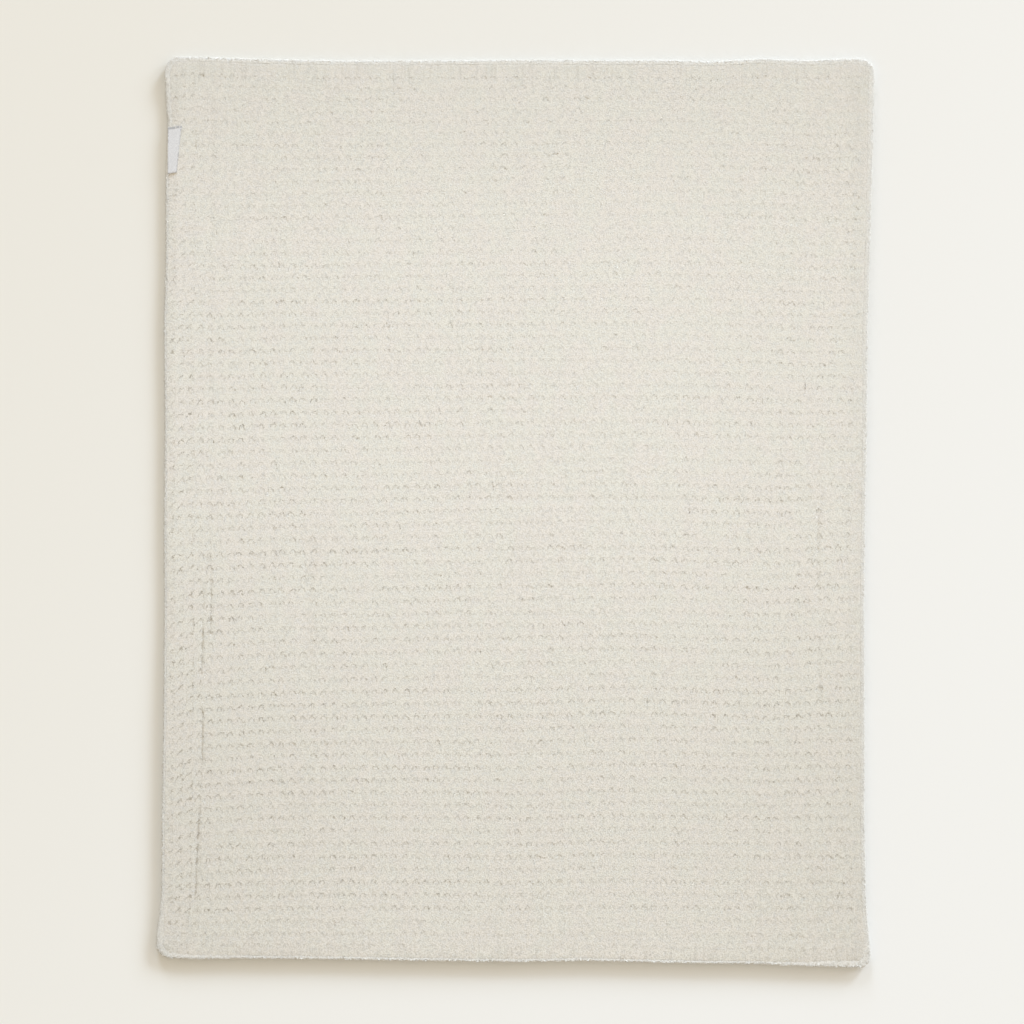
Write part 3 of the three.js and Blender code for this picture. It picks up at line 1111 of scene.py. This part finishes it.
@dataclass(frozen=True)
class Waffle:
    """The waffle of the face: sunken cells between ridges, in rows that sag across the cloth."""

    rows: int = 71
    columns: int = 68
    across_lines: tuple[float, ...] = (0.0, 0.23, 0.5, 0.77)
    across_dip: tuple[float, ...] = (0.0, 0.80, 1.0, 0.80)
    across_arch: tuple[float, ...] = (0.26, 0.11, 0.0, 0.11)
    down_lines: tuple[float, ...] = (0.0, 0.15, 0.32, 0.62)
    down_dip: tuple[float, ...] = (0.0, 0.12, 1.0, 0.55)
    down_arch: tuple[float, ...] = (0.0, 1.0, 1.0, 0.5)
    end_lines: tuple[float, ...] = (0.2, 0.4, 0.65, 1.0)
    folds: tuple[FineColumns, ...] = (
        FineColumns(2.8125, 4.8125, 0.0625),
        FineColumns(63.0, 64.0, 0.125),
    )
    fold_place: float = -0.338
    sag_heights: tuple[tuple[str, float], ...] = (
        ("foot", -0.442),
        ("near_foot", -0.323),
        ("lower", -0.190),
        ("middle", 0.0),
        ("upper", 0.165),
        ("head", 0.360),
    )

    def row_place(self, row: Array) -> Array:
        """Places up the rectangle of row numbers, whole on each ridge."""
        return along(ROWS, row, "value")

    def sag(self, u: Array, v: Array) -> Array:
        """How far the rows hang at a place, down to nothing at the two ends.

        Args:
            u: Places across the rectangle.
            v: Places up it.

        Returns:
            The distances.
        """
        names, heights = zip(*self.sag_heights)
        end = OUTLINE.length / 2
        hang = along(STRIP_SLOPE, v, "value") * np.maximum(0, self.fold_place - u)
        for name in names:
            near = [float(name == other) for other in names]
            weight = np.interp(v, (-end, *heights, end), (0.0, *near, 0.0))
            hang = hang + along(ROW_SAG, u, name) * weight
        return hang

    def lines(self) -> tuple[Array, Array]:
        """Column and row numbers of the mesh's lines across and down.

        Returns:
            The column numbers and the row numbers, both rising.
        """
        columns = np.add.outer(np.arange(self.columns), self.across_lines).ravel()
        rows = np.add.outer(np.arange(self.rows - 1), self.down_lines).ravel()
        ends = np.array(self.end_lines)
        fold = np.concatenate([np.arange(*run) for run in self.folds])
        clear = np.abs(fold[:, None] - columns[None]).min(axis=1) > self.folds[0].step / 3
        columns = np.sort(np.concatenate([columns, [self.columns], fold[clear]]))
        return columns, np.concatenate([-ends[::-1], rows, [self.rows - 1], self.rows - 1 + ends])


@dataclass(frozen=True)
class FacePanel:
    """The face: one cut of waffle fleece, dropping to the seam all round."""

    name: str = "waffle_face"
    waffle: Waffle = Waffle()
    bottom: float = 0.0039
    edge_thickness: float = 0.0035
    low_thickness: float = 0.0018
    thickness: float = 0.0042
    least_thickness: float = 0.0004
    ridge_height: float = 0.0004
    edge_ridge: float = 0.35
    patch_depth: float = 0.28
    patch_size: float = 0.045
    own_depth: float = 0.26
    own_range: Span = Span(0.2, 2.0)
    row_depth: float = 0.22
    deepest_cell: float = 1.5
    own_across: float = 0.0010
    own_up: float = 0.0005
    corner_side: Span = Span(0.24, 0.35)
    corner_head: Span = Span(0.10, 0.36)
    corner_loss: float = 0.38
    deepest_crease: float = 0.0018
    edge_roll: float = 0.014
    seam_gap: float = 0.0002
    edge_reach: float = 0.024
    swell_height: float = 0.00035
    swell_across: float = 0.095
    swell_up: float = 0.140
    roughness: float = 0.00010
    scatter: float = 0.92
    low_scatter: float = 0.90
    seed: int = 3

    def edge(self, u: Array, v: Array) -> Array:
        """Thickness of the cloth at the seam nearest to a place on the blanket."""
        lower = self.low_thickness - self.edge_thickness
        return self.edge_thickness + lower * OUTLINE.low_side(u, v)

    def roll(self, u: Array, v: Array) -> Array:
        """How far the cloth has risen from the seam to its full thickness.

        Args:
            u: Places across the rectangle.
            v: Places up it.

        Returns:
            0 at the seam, rising to 1.
        """
        beside = OUTLINE.width / 2 - np.abs(u) - OUTLINE.rim_beside(u, v)
        beyond = OUTLINE.length / 2 - np.abs(v) - OUTLINE.rim_beyond(u, v)
        inside = np.minimum(beside, beyond) - self.seam_gap
        return np.sin(math.pi / 2 * np.clip(inside / self.edge_roll, 0, 1))

    def pressed(self, u: Array, v: Array) -> Array:
        """How deep the creases press the cloth at a place.

        Args:
            u: Places across the rectangle.
            v: Places up it.

        Returns:
            The depths.
        """
        deepest = np.zeros_like(u)
        for crease in CREASES:
            run_u, run_v = crease.u1 - crease.u0, crease.v1 - crease.v0
            share = ((u - crease.u0) * run_u + (v - crease.v0) * run_v) / (run_u**2 + run_v**2)
            share = np.clip(share, 0, 1)
            away = np.hypot(u - crease.u0 - share * run_u, v - crease.v0 - share * run_v)
            deepest = np.maximum(deepest, crease.depth * np.exp(-((away / crease.half) ** 2)))
        return deepest

    def strengths(self, rng: np.random.Generator, column: Array, row: Array) -> tuple[Array, Array]:
        """How strongly each cell is pressed in, which also sets how dark its painted arch shade is.

        Args:
            rng: Source of the random values.
            column: Column numbers.
            row: Row numbers, of the same shape.

        Returns:
            The strengths, and three random values of each cell's own.
        """
        waffle = self.waffle
        u = OUTLINE.width * (column / waffle.columns - 0.5)
        v = waffle.row_place(row)
        strength = along(CELL_DEPTH, v, "value") * along(SIDE_DEPTH, u, "value")
        strength = strength * (1 + self.patch_depth * patchy(rng, u, v, self.patch_size))
        corner = smooth_rise(-u, *self.corner_side) * smooth_rise(v, *self.corner_head)
        strength = strength * (1 - self.corner_loss * corner)
        odd = rng.normal(0.0, 1.0, (waffle.rows + 1, waffle.columns + 1, 3))
        cell_row = np.clip(np.floor(row).astype(int), 0, waffle.rows - 1)
        own = odd[cell_row, np.floor(column).astype(int)]
        strength = strength * np.clip(1 + self.own_depth * own[..., 0], *self.own_range)
        by_row = rng.uniform(-1.0, 1.0, waffle.rows + 1)[cell_row]
        return strength * (1 + self.row_depth * by_row), own

    def surface(self) -> tuple[Array, Array]:
        """The face's upper side.

        Returns:
            A grid of points, and for each the column, row and strength of its cell and its crease.
        """
        waffle = self.waffle
        rng = np.random.default_rng(self.seed)
        column, row = np.meshgrid(*waffle.lines())
        strength, own = self.strengths(rng, column, row)
        inside = (row >= 0) & (row < waffle.rows - 1)
        part_across = np.where(column < waffle.columns, column % 1, 0.0)
        part_down = np.where(inside, row % 1, 0.0)
        across_dip = between_lines(part_across, waffle.across_lines, waffle.across_dip)
        down_dip = between_lines(part_down, waffle.down_lines, waffle.down_dip)
        arch = between_lines(part_across, waffle.across_lines, waffle.across_arch)
        arch = arch * between_lines(part_down, waffle.down_lines, waffle.down_arch)
        u = OUTLINE.width * (column / waffle.columns - 0.5)
        u = u + self.own_across * own[..., 1] * across_dip
        v = waffle.row_place(row + np.where(inside, arch, 0.0))
        v = v + self.own_up * own[..., 2] * down_dip
        v = v - waffle.sag(u, v)
        u, v = OUTLINE.inset(u, v, 1.0, self.seam_gap, self.edge_reach)
        dip = np.clip(strength, 0, self.deepest_cell) * (down_dip * across_dip)
        roll = self.roll(u, v)
        swell = self.swell_height * np.sin(u / self.swell_across + 1) * np.cos(v / self.swell_up)
        pressed = np.minimum(self.pressed(u, v), self.thickness - self.least_thickness)
        edge = self.edge(u, v)
        cloth = edge + (self.thickness - pressed + swell - edge) * roll
        relief = self.ridge_height * (1 - dip)
        height = cloth + relief * (self.edge_ridge + (1 - self.edge_ridge) * roll)
        height = height + rng.normal(0.0, self.roughness, height.shape) * roll
        cells = np.stack([column, row, strength * roll, pressed / self.deepest_crease], axis=-1)
        return placed(u, v, self.bottom + height), cells

    def build(self) -> bpy.types.Object:
        """Builds the face as one closed sheet: its upper side, its cut edge and its underside.

        Returns:
            The new piece.
        """
        top, cell = self.surface()
        rows, columns = top.shape[:2]
        numbers = np.arange(rows * columns).reshape(rows, columns)
        around = np.concatenate(
            [numbers[0, :-1], numbers[:-1, -1], numbers[-1, :0:-1], numbers[:0:-1, 0]]
        )
        flat = top.reshape(-1, 3)
        foot = flat[around].copy()
        foot[:, 2] = self.bottom
        middle = np.array([[SHIFT.x, SHIFT.y, self.bottom]])
        points = np.concatenate([flat, foot, middle])
        below = len(flat) + np.arange(len(around))
        after = np.roll(below, -1)
        edge = np.stack([around, np.roll(around, -1), after, below], axis=-1)
        under = np.stack([below, after, np.full(len(below), len(points) - 1)], axis=-1)
        faces = [grid_faces(rows, columns)[:, ::-1], edge, under]
        piece = make_mesh(self.name, points, faces)
        values = np.zeros((len(points), 4), np.float32)
        values[: len(flat)] = cell.reshape(-1, 4)
        mark_cells(piece, values)
        scatter_light(piece, self.scatter, self.low_scatter)
        return piece

    def dress(self, piece: bpy.types.Object) -> None:
        """Gives the face its finish, attaches it to the root and hides the imported face panel.

        Args:
            piece: The face's piece.
        """
        finish = FleeceFinish("waffle_fleece", PaintedWaffleShade())
        piece.data.materials.append(finish.material())
        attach(piece, "root")
        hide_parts("face_panel")


@dataclass(frozen=True)
class BackPanel:
    """The back: one cut of smooth teddy fleece, its edge rolled up around the face as a rim."""

    name: str = "teddy_back"
    thickness: float = 0.0036
    rim_height: float = 0.0076
    low_height: float = 0.0060
    belly: float = 0.62
    low_belly: float = 0.42
    square: float = 4.5
    low_square: float = 2.2
    foot_turn: float = -60.0
    seam_turn: float = 100.0
    turns: int = 15
    spacing: float = 0.003
    edge_reach: float = 0.4
    lumps: float = 0.00015
    tray_gap: float = 0.0004
    under_step: float = 0.03
    scatter: float = 0.88
    low_scatter: float = 0.80
    seed: int = 5

    def section(self, square: float, belly: float) -> tuple[Array, Array]:
        """The rim's section from its foot over its top to the seam.

        Args:
            square: Power of its curve, 2 for a round one and more for a squarer one.
            belly: Share of its height at which it stands out most.

        Returns:
            Shares of the rim's width in from the outline, and shares of its height.
        """
        turn = np.radians(np.linspace(self.foot_turn, self.seam_turn, self.turns))
        out = np.sign(np.cos(turn)) * np.abs(np.cos(turn)) ** (2 / square)
        up = np.sign(np.sin(turn)) * np.abs(np.sin(turn)) ** (2 / square)
        above = belly + (1 - belly) * up
        below = belly * (1 - up / up[0])
        return (1 - out) / (1 - out[-1]), np.where(turn > 0, above, below)

    def sections(self) -> tuple[Array, Array]:
        """The rim's section at each point of the outline, rounder at the flatter left edge.

        Returns:
            Shares of the rim's width and of its height, one row for each turn.
        """
        low = OUTLINE.low_side(*OUTLINE.ring(self.spacing))[None]
        inset, level = self.section(self.square, self.belly)
        low_inset, low_level = self.section(self.low_square, self.low_belly)
        return (
            inset[:, None] * (1 - low) + low_inset[:, None] * low,
            level[:, None] * (1 - low) + low_level[:, None] * low,
        )

    def height(self, u: Array, v: Array) -> Array:
        """Height of the rim at a place on the blanket."""
        lower = self.low_height - self.rim_height
        return self.rim_height + lower * OUTLINE.low_side(u, v)

    def rim_rows(self) -> Array:
        """Rings of points over the rim.

        Returns:
            One row of points for each ring, from the rim's foot to the seam.
        """
        rng = np.random.default_rng(self.seed)
        ring_u, ring_v = OUTLINE.ring(self.spacing)
        rows = []
        for share, level in zip(*self.sections()):
            u, v = OUTLINE.inset(ring_u, ring_v, share, 0.0, self.edge_reach)
            wobble = rng.normal(0.0, self.lumps, len(u)) * (level > self.low_belly)
            rows.append(placed(u, v, level * self.height(u, v) + wobble))
        return np.array(rows)

    def build(self) -> bpy.types.Object:
        """Builds the back as one closed sheet: its rim, the tray under the face, its underside.

        Returns:
            The new piece.
        """
        ring_u, ring_v = OUTLINE.ring(self.spacing)
        inset, _ = self.sections()
        rows = list(self.rim_rows())
        for step in (0.0, self.under_step):
            u, v = OUTLINE.inset(ring_u, ring_v, 1.0, self.tray_gap + step, self.edge_reach)
            rows.append(placed(u, v, np.full(len(u), self.thickness)))
        u, v = OUTLINE.inset(ring_u, ring_v, inset[0], self.under_step, self.edge_reach)
        count = len(ring_u)
        middle = np.array([[SHIFT.x, SHIFT.y, self.thickness], [SHIFT.x, SHIFT.y, 0.0]])
        points = np.concatenate([placed(u, v, np.zeros(count)), *rows, middle])
        last = len(rows) * count + np.arange(count)
        first = np.arange(count)
        top = np.stack([last, np.roll(last, -1), np.full(count, len(points) - 2)], axis=-1)
        low = np.stack([np.roll(first, -1), first, np.full(count, len(points) - 1)], axis=-1)
        faces = [grid_faces(len(rows) + 1, count, closed=True), top, low]
        piece = make_mesh(self.name, points, faces)
        scatter_light(piece, self.scatter, self.low_scatter)
        return piece

    def dress(self, piece: bpy.types.Object) -> None:
        """Gives the back its finish, attaches it to the root and hides the imported back panel.

        Args:
            piece: The back's piece.
        """
        finish = FleeceFinish(
            "teddy_fleece",
            light=(0.790, 0.765, 0.694),
            warm=(0.786, 0.755, 0.684),
            deep=(0.560, 0.528, 0.456),
            painted_head_shade=0.0,
            painted_foot_shade=0.0,
            painted_edge_shade=0.0,
            # Painted shade on the rim along the left edge
            painted_left_shade=0.22,
        )
        piece.data.materials.append(finish.material())
        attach(piece, "root")
        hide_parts("back_panel")


@dataclass(frozen=True)
class Ground:
    """What the label lies on: the rim at the left edge and the ridges of the face."""

    back: BackPanel
    face: FacePanel
    ridge_share: float = 0.8

    def height(self, u: Array, v: Array) -> Array:
        """The height of the rim or of the face's ridges, whichever is higher.

        Args:
            u: Places across the rectangle.
            v: Places up it.

        Returns:
            The heights.
        """
        face = self.face
        roll = face.roll(u, v)
        edge = face.edge(u, v)
        cloth = edge + (face.thickness - edge) * roll
        ridge = face.ridge_height * (face.edge_ridge + (1 - face.edge_ridge) * roll)
        return np.maximum(face.bottom + cloth + self.ridge_share * ridge, self.back.height(u, v))


@dataclass(frozen=True)
class Label:
    """A bare satin ribbon folded once, its two ends sewn in at the left edge."""

    name: str = "satin_label"
    top: float = 0.4124
    length: float = 0.0500
    flat_width: float = 0.032
    width_top: float = 0.0150
    width_bottom: float = 0.0098
    start_top: float = 0.0014
    start_bottom: float = 0.0030
    ribbon: float = 0.00028
    slit: float = 0.00008
    lift: float = 0.0001
    fold_part: float = 0.03
    path_shares: tuple[float, ...] = (0.0, 0.1, 0.25, 0.45, 0.65, 0.85)
    fold_steps: int = 8
    scatter: float = 0.85
    stations: int = 26

    def path(self) -> tuple[Array, Array]:
        """The ribbon's middle line from its lower end round the fold to its upper end.

        Returns:
            Shares of the label's width in from its sewn edge, and heights over what it lies on.
        """
        bend = np.radians(np.linspace(-90, 90, self.fold_steps + 1))
        radius = (self.ribbon + self.slit) / 2
        flat = np.array(self.path_shares)
        level = np.full(len(flat), radius)
        fold = 1 - self.fold_part + self.fold_part * np.cos(bend)
        share = np.concatenate([flat, fold, flat[::-1]])
        return share, np.concatenate([-level, radius * np.sin(bend), level])

    def covers(self, places: Array) -> Array:
        """Whether a place on the blanket lies under the label, where no pile stands up.

        Args:
            places: Rows of x, y and z.

        Returns:
            True or false for each row.
        """
        x, y = places[:, 0] - SHIFT.x, places[:, 1] - SHIFT.y
        beside = x < self.start_top + self.width_top - OUTLINE.width / 2
        return beside & (y > self.top - self.length) & (y < self.top)

    def build(self, ground: Ground) -> bpy.types.Object:
        """Builds the ribbon as one closed sheet that follows what lies under it.

        Args:
            ground: Heights of the rim and the face under the label.

        Returns:
            The new piece.
        """
        share, rise = self.path()
        place = np.linspace(self.top - self.length, self.top, self.stations)
        part = np.linspace(0, 1, self.stations)[:, None]
        width = self.width_bottom + (self.width_top - self.width_bottom) * part
        start = self.start_bottom + (self.start_top - self.start_bottom) * part
        u = -OUTLINE.width / 2 + start + share[None] * width
        v = place[:, None] + 0 * u
        under = ground.height(u, v) + self.lift + self.ribbon + self.slit
        middle = placed(u, v, under + rise[None])
        along_path = np.gradient(middle, axis=1)
        along_length = np.gradient(middle, axis=0)
        normal = np.cross(along_length, along_path)
        normal /= np.linalg.norm(normal, axis=-1, keepdims=True)
        outer = middle - normal * self.ribbon / 2
        inner = middle + normal * self.ribbon / 2
        loop = np.concatenate([outer, inner[:, ::-1]], axis=1)
        count = loop.shape[1]
        sides = grid_faces(self.stations, count, closed=True)
        first = np.arange(count // 2 - 1)
        cap = np.stack([first, first + 1, count - 2 - first, count - 1 - first], axis=-1)
        last = (self.stations - 1) * count
        piece = make_mesh(self.name, loop.reshape(-1, 3), [sides, cap[:, ::-1], cap + last])
        across = np.broadcast_to(np.concatenate([share, share[::-1]]), (self.stations, count))
        up = np.broadcast_to(part, (self.stations, count))
        marks = np.stack([across, up, 0 * up], axis=-1).astype(np.float32)
        ribbon = piece.data.attributes.new("ribbon", "FLOAT_VECTOR", "POINT")
        ribbon.data.foreach_set("vector", marks.ravel())
        scatter_light(piece, self.scatter, self.scatter)
        return piece

    def dress(self, piece: bpy.types.Object) -> None:
        """Gives the label its finish, attaches it to the root and hides the imported label.

        Args:
            piece: The label's piece.
        """
        piece.data.materials.append(SatinFinish().material())
        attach(piece, "root")
        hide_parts("label")


class Stand(NamedTuple):
    """Where locks of pile stand, which way the cloth faces there, and what the material reads."""

    roots: Array
    normals: Array
    cells: Array

    def clear_of(self, label: Label) -> "Stand":
        """Leaves out what lies under the label, which presses the pile flat."""
        clear = ~label.covers(self.roots)
        return Stand(*(values[clear] for values in self))


def stand_on(grid: Array, cells: Array, row: Array, column: Array) -> Stand:
    """Places on a grid of points, between its rows and columns.

    Args:
        grid: Rows and columns of points.
        cells: Values for each of those points.
        row: Row numbers of the places, with their parts.
        column: Column numbers of the places, with their parts.

    Returns:
        One place, facing and value for each pair of numbers.
    """
    j = np.clip(np.floor(row).astype(int), 0, grid.shape[0] - 2)
    i = np.clip(np.floor(column).astype(int), 0, grid.shape[1] - 2)
    y, x = (row - j)[:, None], (column - i)[:, None]
    between = []
    for values in (grid, cells):
        first = values[j, i] * (1 - x) + values[j, i + 1] * x
        second = values[j + 1, i] * (1 - x) + values[j + 1, i + 1] * x
        between.append(first * (1 - y) + second * y)
    normals = np.cross(grid[j, i + 1] - grid[j, i], grid[j + 1, i] - grid[j, i])
    normals /= np.linalg.norm(normals, axis=-1, keepdims=True)
    return Stand(between[0], normals, between[1])


@dataclass(frozen=True)
class Pile:
    """Short locks of pile on a cloth, each a bent three-sided cone, joined in one mesh."""

    height: float = 0.0008
    radius: float = 0.0009
    lean: float = 0.0018
    sunk: float = 0.0005
    sizes: Span = Span(0.7, 1.3)
    bends: Span = Span(0.5, 1.4)
    turns: Span = Span(0.0, 2.1)
    waist_height: float = 0.8
    waist_lean: float = 0.4
    waist_radius: float = 0.85
    scatter: float = 0.94
    seed: int = 11

    def build(self, name: str, stand: Stand) -> bpy.types.Object:
        """Builds one piece of pile, each lock with three points at its foot, three above and a tip.

        Args:
            name: The piece's name.
            stand: Where the locks stand.

        Returns:
            The new piece.
        """
        roots, normals = stand.roots, stand.normals
        rng = np.random.default_rng(self.seed)
        count = len(roots)
        turn = rng.uniform(0, 2 * math.pi, count)
        flat = np.stack([np.cos(turn), np.sin(turn), np.zeros(count)], axis=-1)
        side = np.cross(normals, flat)
        side /= np.linalg.norm(side, axis=-1, keepdims=True)
        way = np.cross(side, normals)
        size = rng.uniform(*self.sizes, (count, 1))
        bend = rng.uniform(*self.bends, (count, 1))
        ring = np.radians([0, 120, 240]) + rng.uniform(*self.turns, (count, 1))
        around = np.cos(ring)[..., None] * way[:, None] + np.sin(ring)[..., None] * side[:, None]
        radius = self.radius * size[..., None]
        rise, lean = normals * self.height * size, way * self.lean * bend
        waist = roots + rise * self.waist_height + lean * self.waist_lean
        foot = (roots - normals * self.sunk)[:, None] + around * radius
        middle = waist[:, None] + around * radius * self.waist_radius
        tip = roots + rise + lean
        locks = np.concatenate([foot, middle, tip[:, None]], axis=1)
        each = locks.shape[1]
        points = locks.reshape(-1, 3)
        start = each * np.arange(count)[:, None, None]
        walls = np.array([[0, 1, 4, 3], [1, 2, 5, 4], [2, 0, 3, 5]]) + start
        ends = np.array([[3, 4, 6], [4, 5, 6], [5, 3, 6]]) + start
        piece = make_mesh(name, points, [walls.reshape(-1, 4), ends.reshape(-1, 3)])
        own = np.empty(points.size, np.float32)
        piece.data.vertices.foreach_get("normal", own)
        cloth = np.repeat(normals, each, axis=0)
        turned = own.reshape(-1, 3) * (1 - self.scatter) + cloth * self.scatter
        turned[:, 2] += self.scatter
        turned /= np.linalg.norm(turned, axis=-1, keepdims=True)
        piece.data.normals_split_custom_set_from_vertices(turned)
        mark_cells(piece, np.repeat(stand.cells, each, axis=0).astype(np.float32))
        return piece

    def dress(self, piece: bpy.types.Object, cloth: bpy.types.Object, finish: Finish) -> None:
        """Gives a piece of pile its cloth's material, casts no shadow from it and attaches it to the
        root.

        Args:
            piece: The piece of pile.
            cloth: The cloth that it stands on.
            finish: The cloth's slot; not used.
        """
        piece.data.materials.append(cloth.data.materials[0])
        piece.visible_shadow = False
        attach(piece, "root")


@dataclass(frozen=True)
class FacePile:
    """Pile all over the face, in as many pieces as keep each one light."""

    locks: Pile = Pile()
    across: int = 240
    up: int = 310
    pieces: int = 4
    seed: int = 17

    def build(self, face: FacePanel, label: Label) -> list[bpy.types.Object]:
        """Builds the pile in bands up the face.

        Args:
            face: The face that it stands on.
            label: The label, which presses it flat.

        Returns:
            The new pieces.
        """
        grid, cells = face.surface()
        columns, rows = face.waffle.lines()
        rng = np.random.default_rng(self.seed)
        parts = []
        for band in np.array_split(np.arange(self.up), self.pieces):
            row, column = np.meshgrid(band, np.arange(self.across), indexing="ij")
            up = (row + rng.uniform(0, 1, row.shape)).ravel() / self.up
            across = (column + rng.uniform(0, 1, row.shape)).ravel() / self.across
            at_row = rows[0] + up * (rows[-1] - rows[0])
            at_column = columns[0] + across * (columns[-1] - columns[0])
            line_row = np.interp(at_row, rows, np.arange(len(rows)))
            line_column = np.interp(at_column, columns, np.arange(len(columns)))
            stand = stand_on(grid, cells, line_row, line_column).clear_of(label)
            stand = stand._replace(normals=-stand.normals)
            parts.append(self.locks.build(f"face_pile_{len(parts) + 1}", stand))
        return parts

    def dress(self, pieces: list[bpy.types.Object], face: bpy.types.Object) -> None:
        """Gives the pile's pieces the face's finish."""
        for piece in pieces:
            self.locks.dress(piece, face, Finish.FACE)


@dataclass(frozen=True)
class RimPile:
    """Pile on the rim that the back's rolled edge makes."""

    name: str = "rim_pile"
    locks: Pile = Pile(0.0006, 0.0008, 0.0011, 0.0004, scatter=0.93, seed=19)
    around: int = 1500
    over: int = 6
    first_ring: float = 8.0
    seed: int = 23

    def build(self, back: BackPanel, label: Label) -> bpy.types.Object:
        """Builds the pile.

        Args:
            back: The back whose rim it stands on.
            label: The label, which presses it flat.

        Returns:
            The new piece.
        """
        grid = back.rim_rows()
        grid = np.concatenate([grid, grid[:, :1]], axis=1)
        rng = np.random.default_rng(self.seed)
        row, column = np.meshgrid(np.arange(self.over), np.arange(self.around), indexing="ij")
        over = (row + rng.uniform(0, 1, row.shape)).ravel() / self.over
        around = (column + rng.uniform(0, 1, row.shape)).ravel() / self.around
        last_ring, last_column = grid.shape[0] - 1, grid.shape[1] - 1
        over = self.first_ring + over * (last_ring - self.first_ring)
        cells = np.zeros((*grid.shape[:2], 4))
        stand = stand_on(grid, cells, over, around * last_column)
        return self.locks.build(self.name, stand.clear_of(label))

    def dress(self, piece: bpy.types.Object, back: bpy.types.Object) -> None:
        """Gives the pile the back's finish."""
        self.locks.dress(piece, back, Finish.BACK)


class Window(NamedTuple):
    """A part of the wide window: its turn from the blanket's top end, and its share of the light."""

    turn: float
    share: float


@dataclass(frozen=True)
class Studio:
    """A plain pale floor, a wide low window beyond the top end, and a camera straight above."""

    floor_size: float = 8.0
    sensor_width: float = 36.0
    camera_height: float = 4.0
    seen_width: float = 1.111
    camera_x: float = -0.0033
    camera_y: float = 0.0005
    windows: tuple[Window, ...] = (Window(-8.0, 0.3), Window(36.0, 0.5), Window(60.0, 0.2))
    key_rise: float = 15.0
    key_spread: float = 16.0
    key_strength: float = 4.55
    key_colour: Colour = (0.84, 1.00, 1.25)
    side_place: tuple[float, float, float] = (2.6, 0.9, 1.9)
    side_size: float = 1.6
    side_power: float = 6.0
    sky: float = 0.692
    sky_colour: Colour = (1.095, 1.000, 0.855)

    def floor(self) -> bpy.types.Object:
        """Lays the floor.

        Returns:
            The new piece.
        """
        half = self.floor_size / 2
        corners = np.array([[-half, -half, 0], [half, -half, 0], [half, half, 0], [-half, half, 0]])
        floor = make_mesh("floor", corners, [np.array([[0, 1, 2, 3]])])
        floor.data.materials.append(PaperFinish().material())
        floor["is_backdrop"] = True
        return floor

    def hang(self, light: bpy.types.Light, place: Vector) -> None:
        """Hangs a light at a place, turned to the blanket's middle.

        Args:
            light: The light.
            place: Where it hangs.
        """
        lamp = bpy.data.objects.new(light.name, light)
        lamp.location = place
        lamp.rotation_euler = place.to_track_quat("Z", "Y").to_euler()
        bpy.context.scene.collection.objects.link(lamp)

    def lights(self) -> None:
        """Sets the wide window, a soft screen beside it and the even light from all round."""
        rise = math.radians(self.key_rise)
        for window in self.windows:
            turn = math.radians(window.turn)
            key = bpy.data.lights.new("window", "SUN")
            key.angle = math.radians(self.key_spread)
            key.energy = self.key_strength * window.share
            key.color = self.key_colour
            way = (math.sin(turn) * math.cos(rise), math.cos(turn) * math.cos(rise), math.sin(rise))
            self.hang(key, Vector(way))
        side = bpy.data.lights.new("side_screen", "AREA")
        side.size = self.side_size
        side.energy = self.side_power
        self.hang(side, Vector(self.side_place))
        world = bpy.data.worlds.new("room_light")
        world.use_nodes = True
        background = world.node_tree.nodes["Background"]
        background.inputs["Color"].default_value = opaque(self.sky_colour)
        background.inputs["Strength"].default_value = self.sky
        bpy.context.scene.world = world

    def camera(self) -> None:
        """Hangs the camera straight above, its frame as wide as the photograph's."""
        data = bpy.data.cameras.new("above")
        data.sensor_width = self.sensor_width
        data.lens = self.sensor_width * self.camera_height / self.seen_width
        eye = bpy.data.objects.new("above", data)
        eye.location = (self.camera_x, self.camera_y, self.camera_height)
        bpy.context.scene.collection.objects.link(eye)
        bpy.context.scene.camera = eye
        bpy.context.scene.view_settings.view_transform = "Standard"


def write_sizes(packed: tuple[Vector, Vector]) -> None:
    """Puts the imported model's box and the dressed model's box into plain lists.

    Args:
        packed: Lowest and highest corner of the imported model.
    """
    boxes = {"packed": packed, "dressed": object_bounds()}
    plain = {name: [list(corner) for corner in box] for name, box in boxes.items()}


def report(piece: bpy.types.Object) -> None:
    """Logs how many points and faces a finished piece has."""
    mesh = piece.data
    log.info("%s has %d points and %d faces", piece.name, len(mesh.vertices), len(mesh.polygons))


def main() -> None:
    """Builds the studio and the blanket, piece by piece."""
    logging.basicConfig(level=logging.INFO, format="%(name)s: %(message)s")
    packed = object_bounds()
    studio = Studio()
    studio.camera()
    studio.lights()
    report(studio.floor())
    back_panel, face_panel, label = BackPanel(), FacePanel(), Label()
    rim_coat, face_coat = RimPile(), FacePile()
    back = back_panel.build()
    back_panel.dress(back)
    report(back)
    rim_pile = rim_coat.build(back_panel, label)
    rim_coat.dress(rim_pile, back)
    report(rim_pile)
    face = face_panel.build()
    face_panel.dress(face)
    report(face)
    face_pile = face_coat.build(face_panel, label)
    face_coat.dress(face_pile, face)
    for part in face_pile:
        report(part)
    ribbon = label.build(Ground(back_panel, face_panel))
    label.dress(ribbon)
    report(ribbon)
    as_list(face_pile)
    write_sizes(packed)


if __name__ == "__main__":
    main()
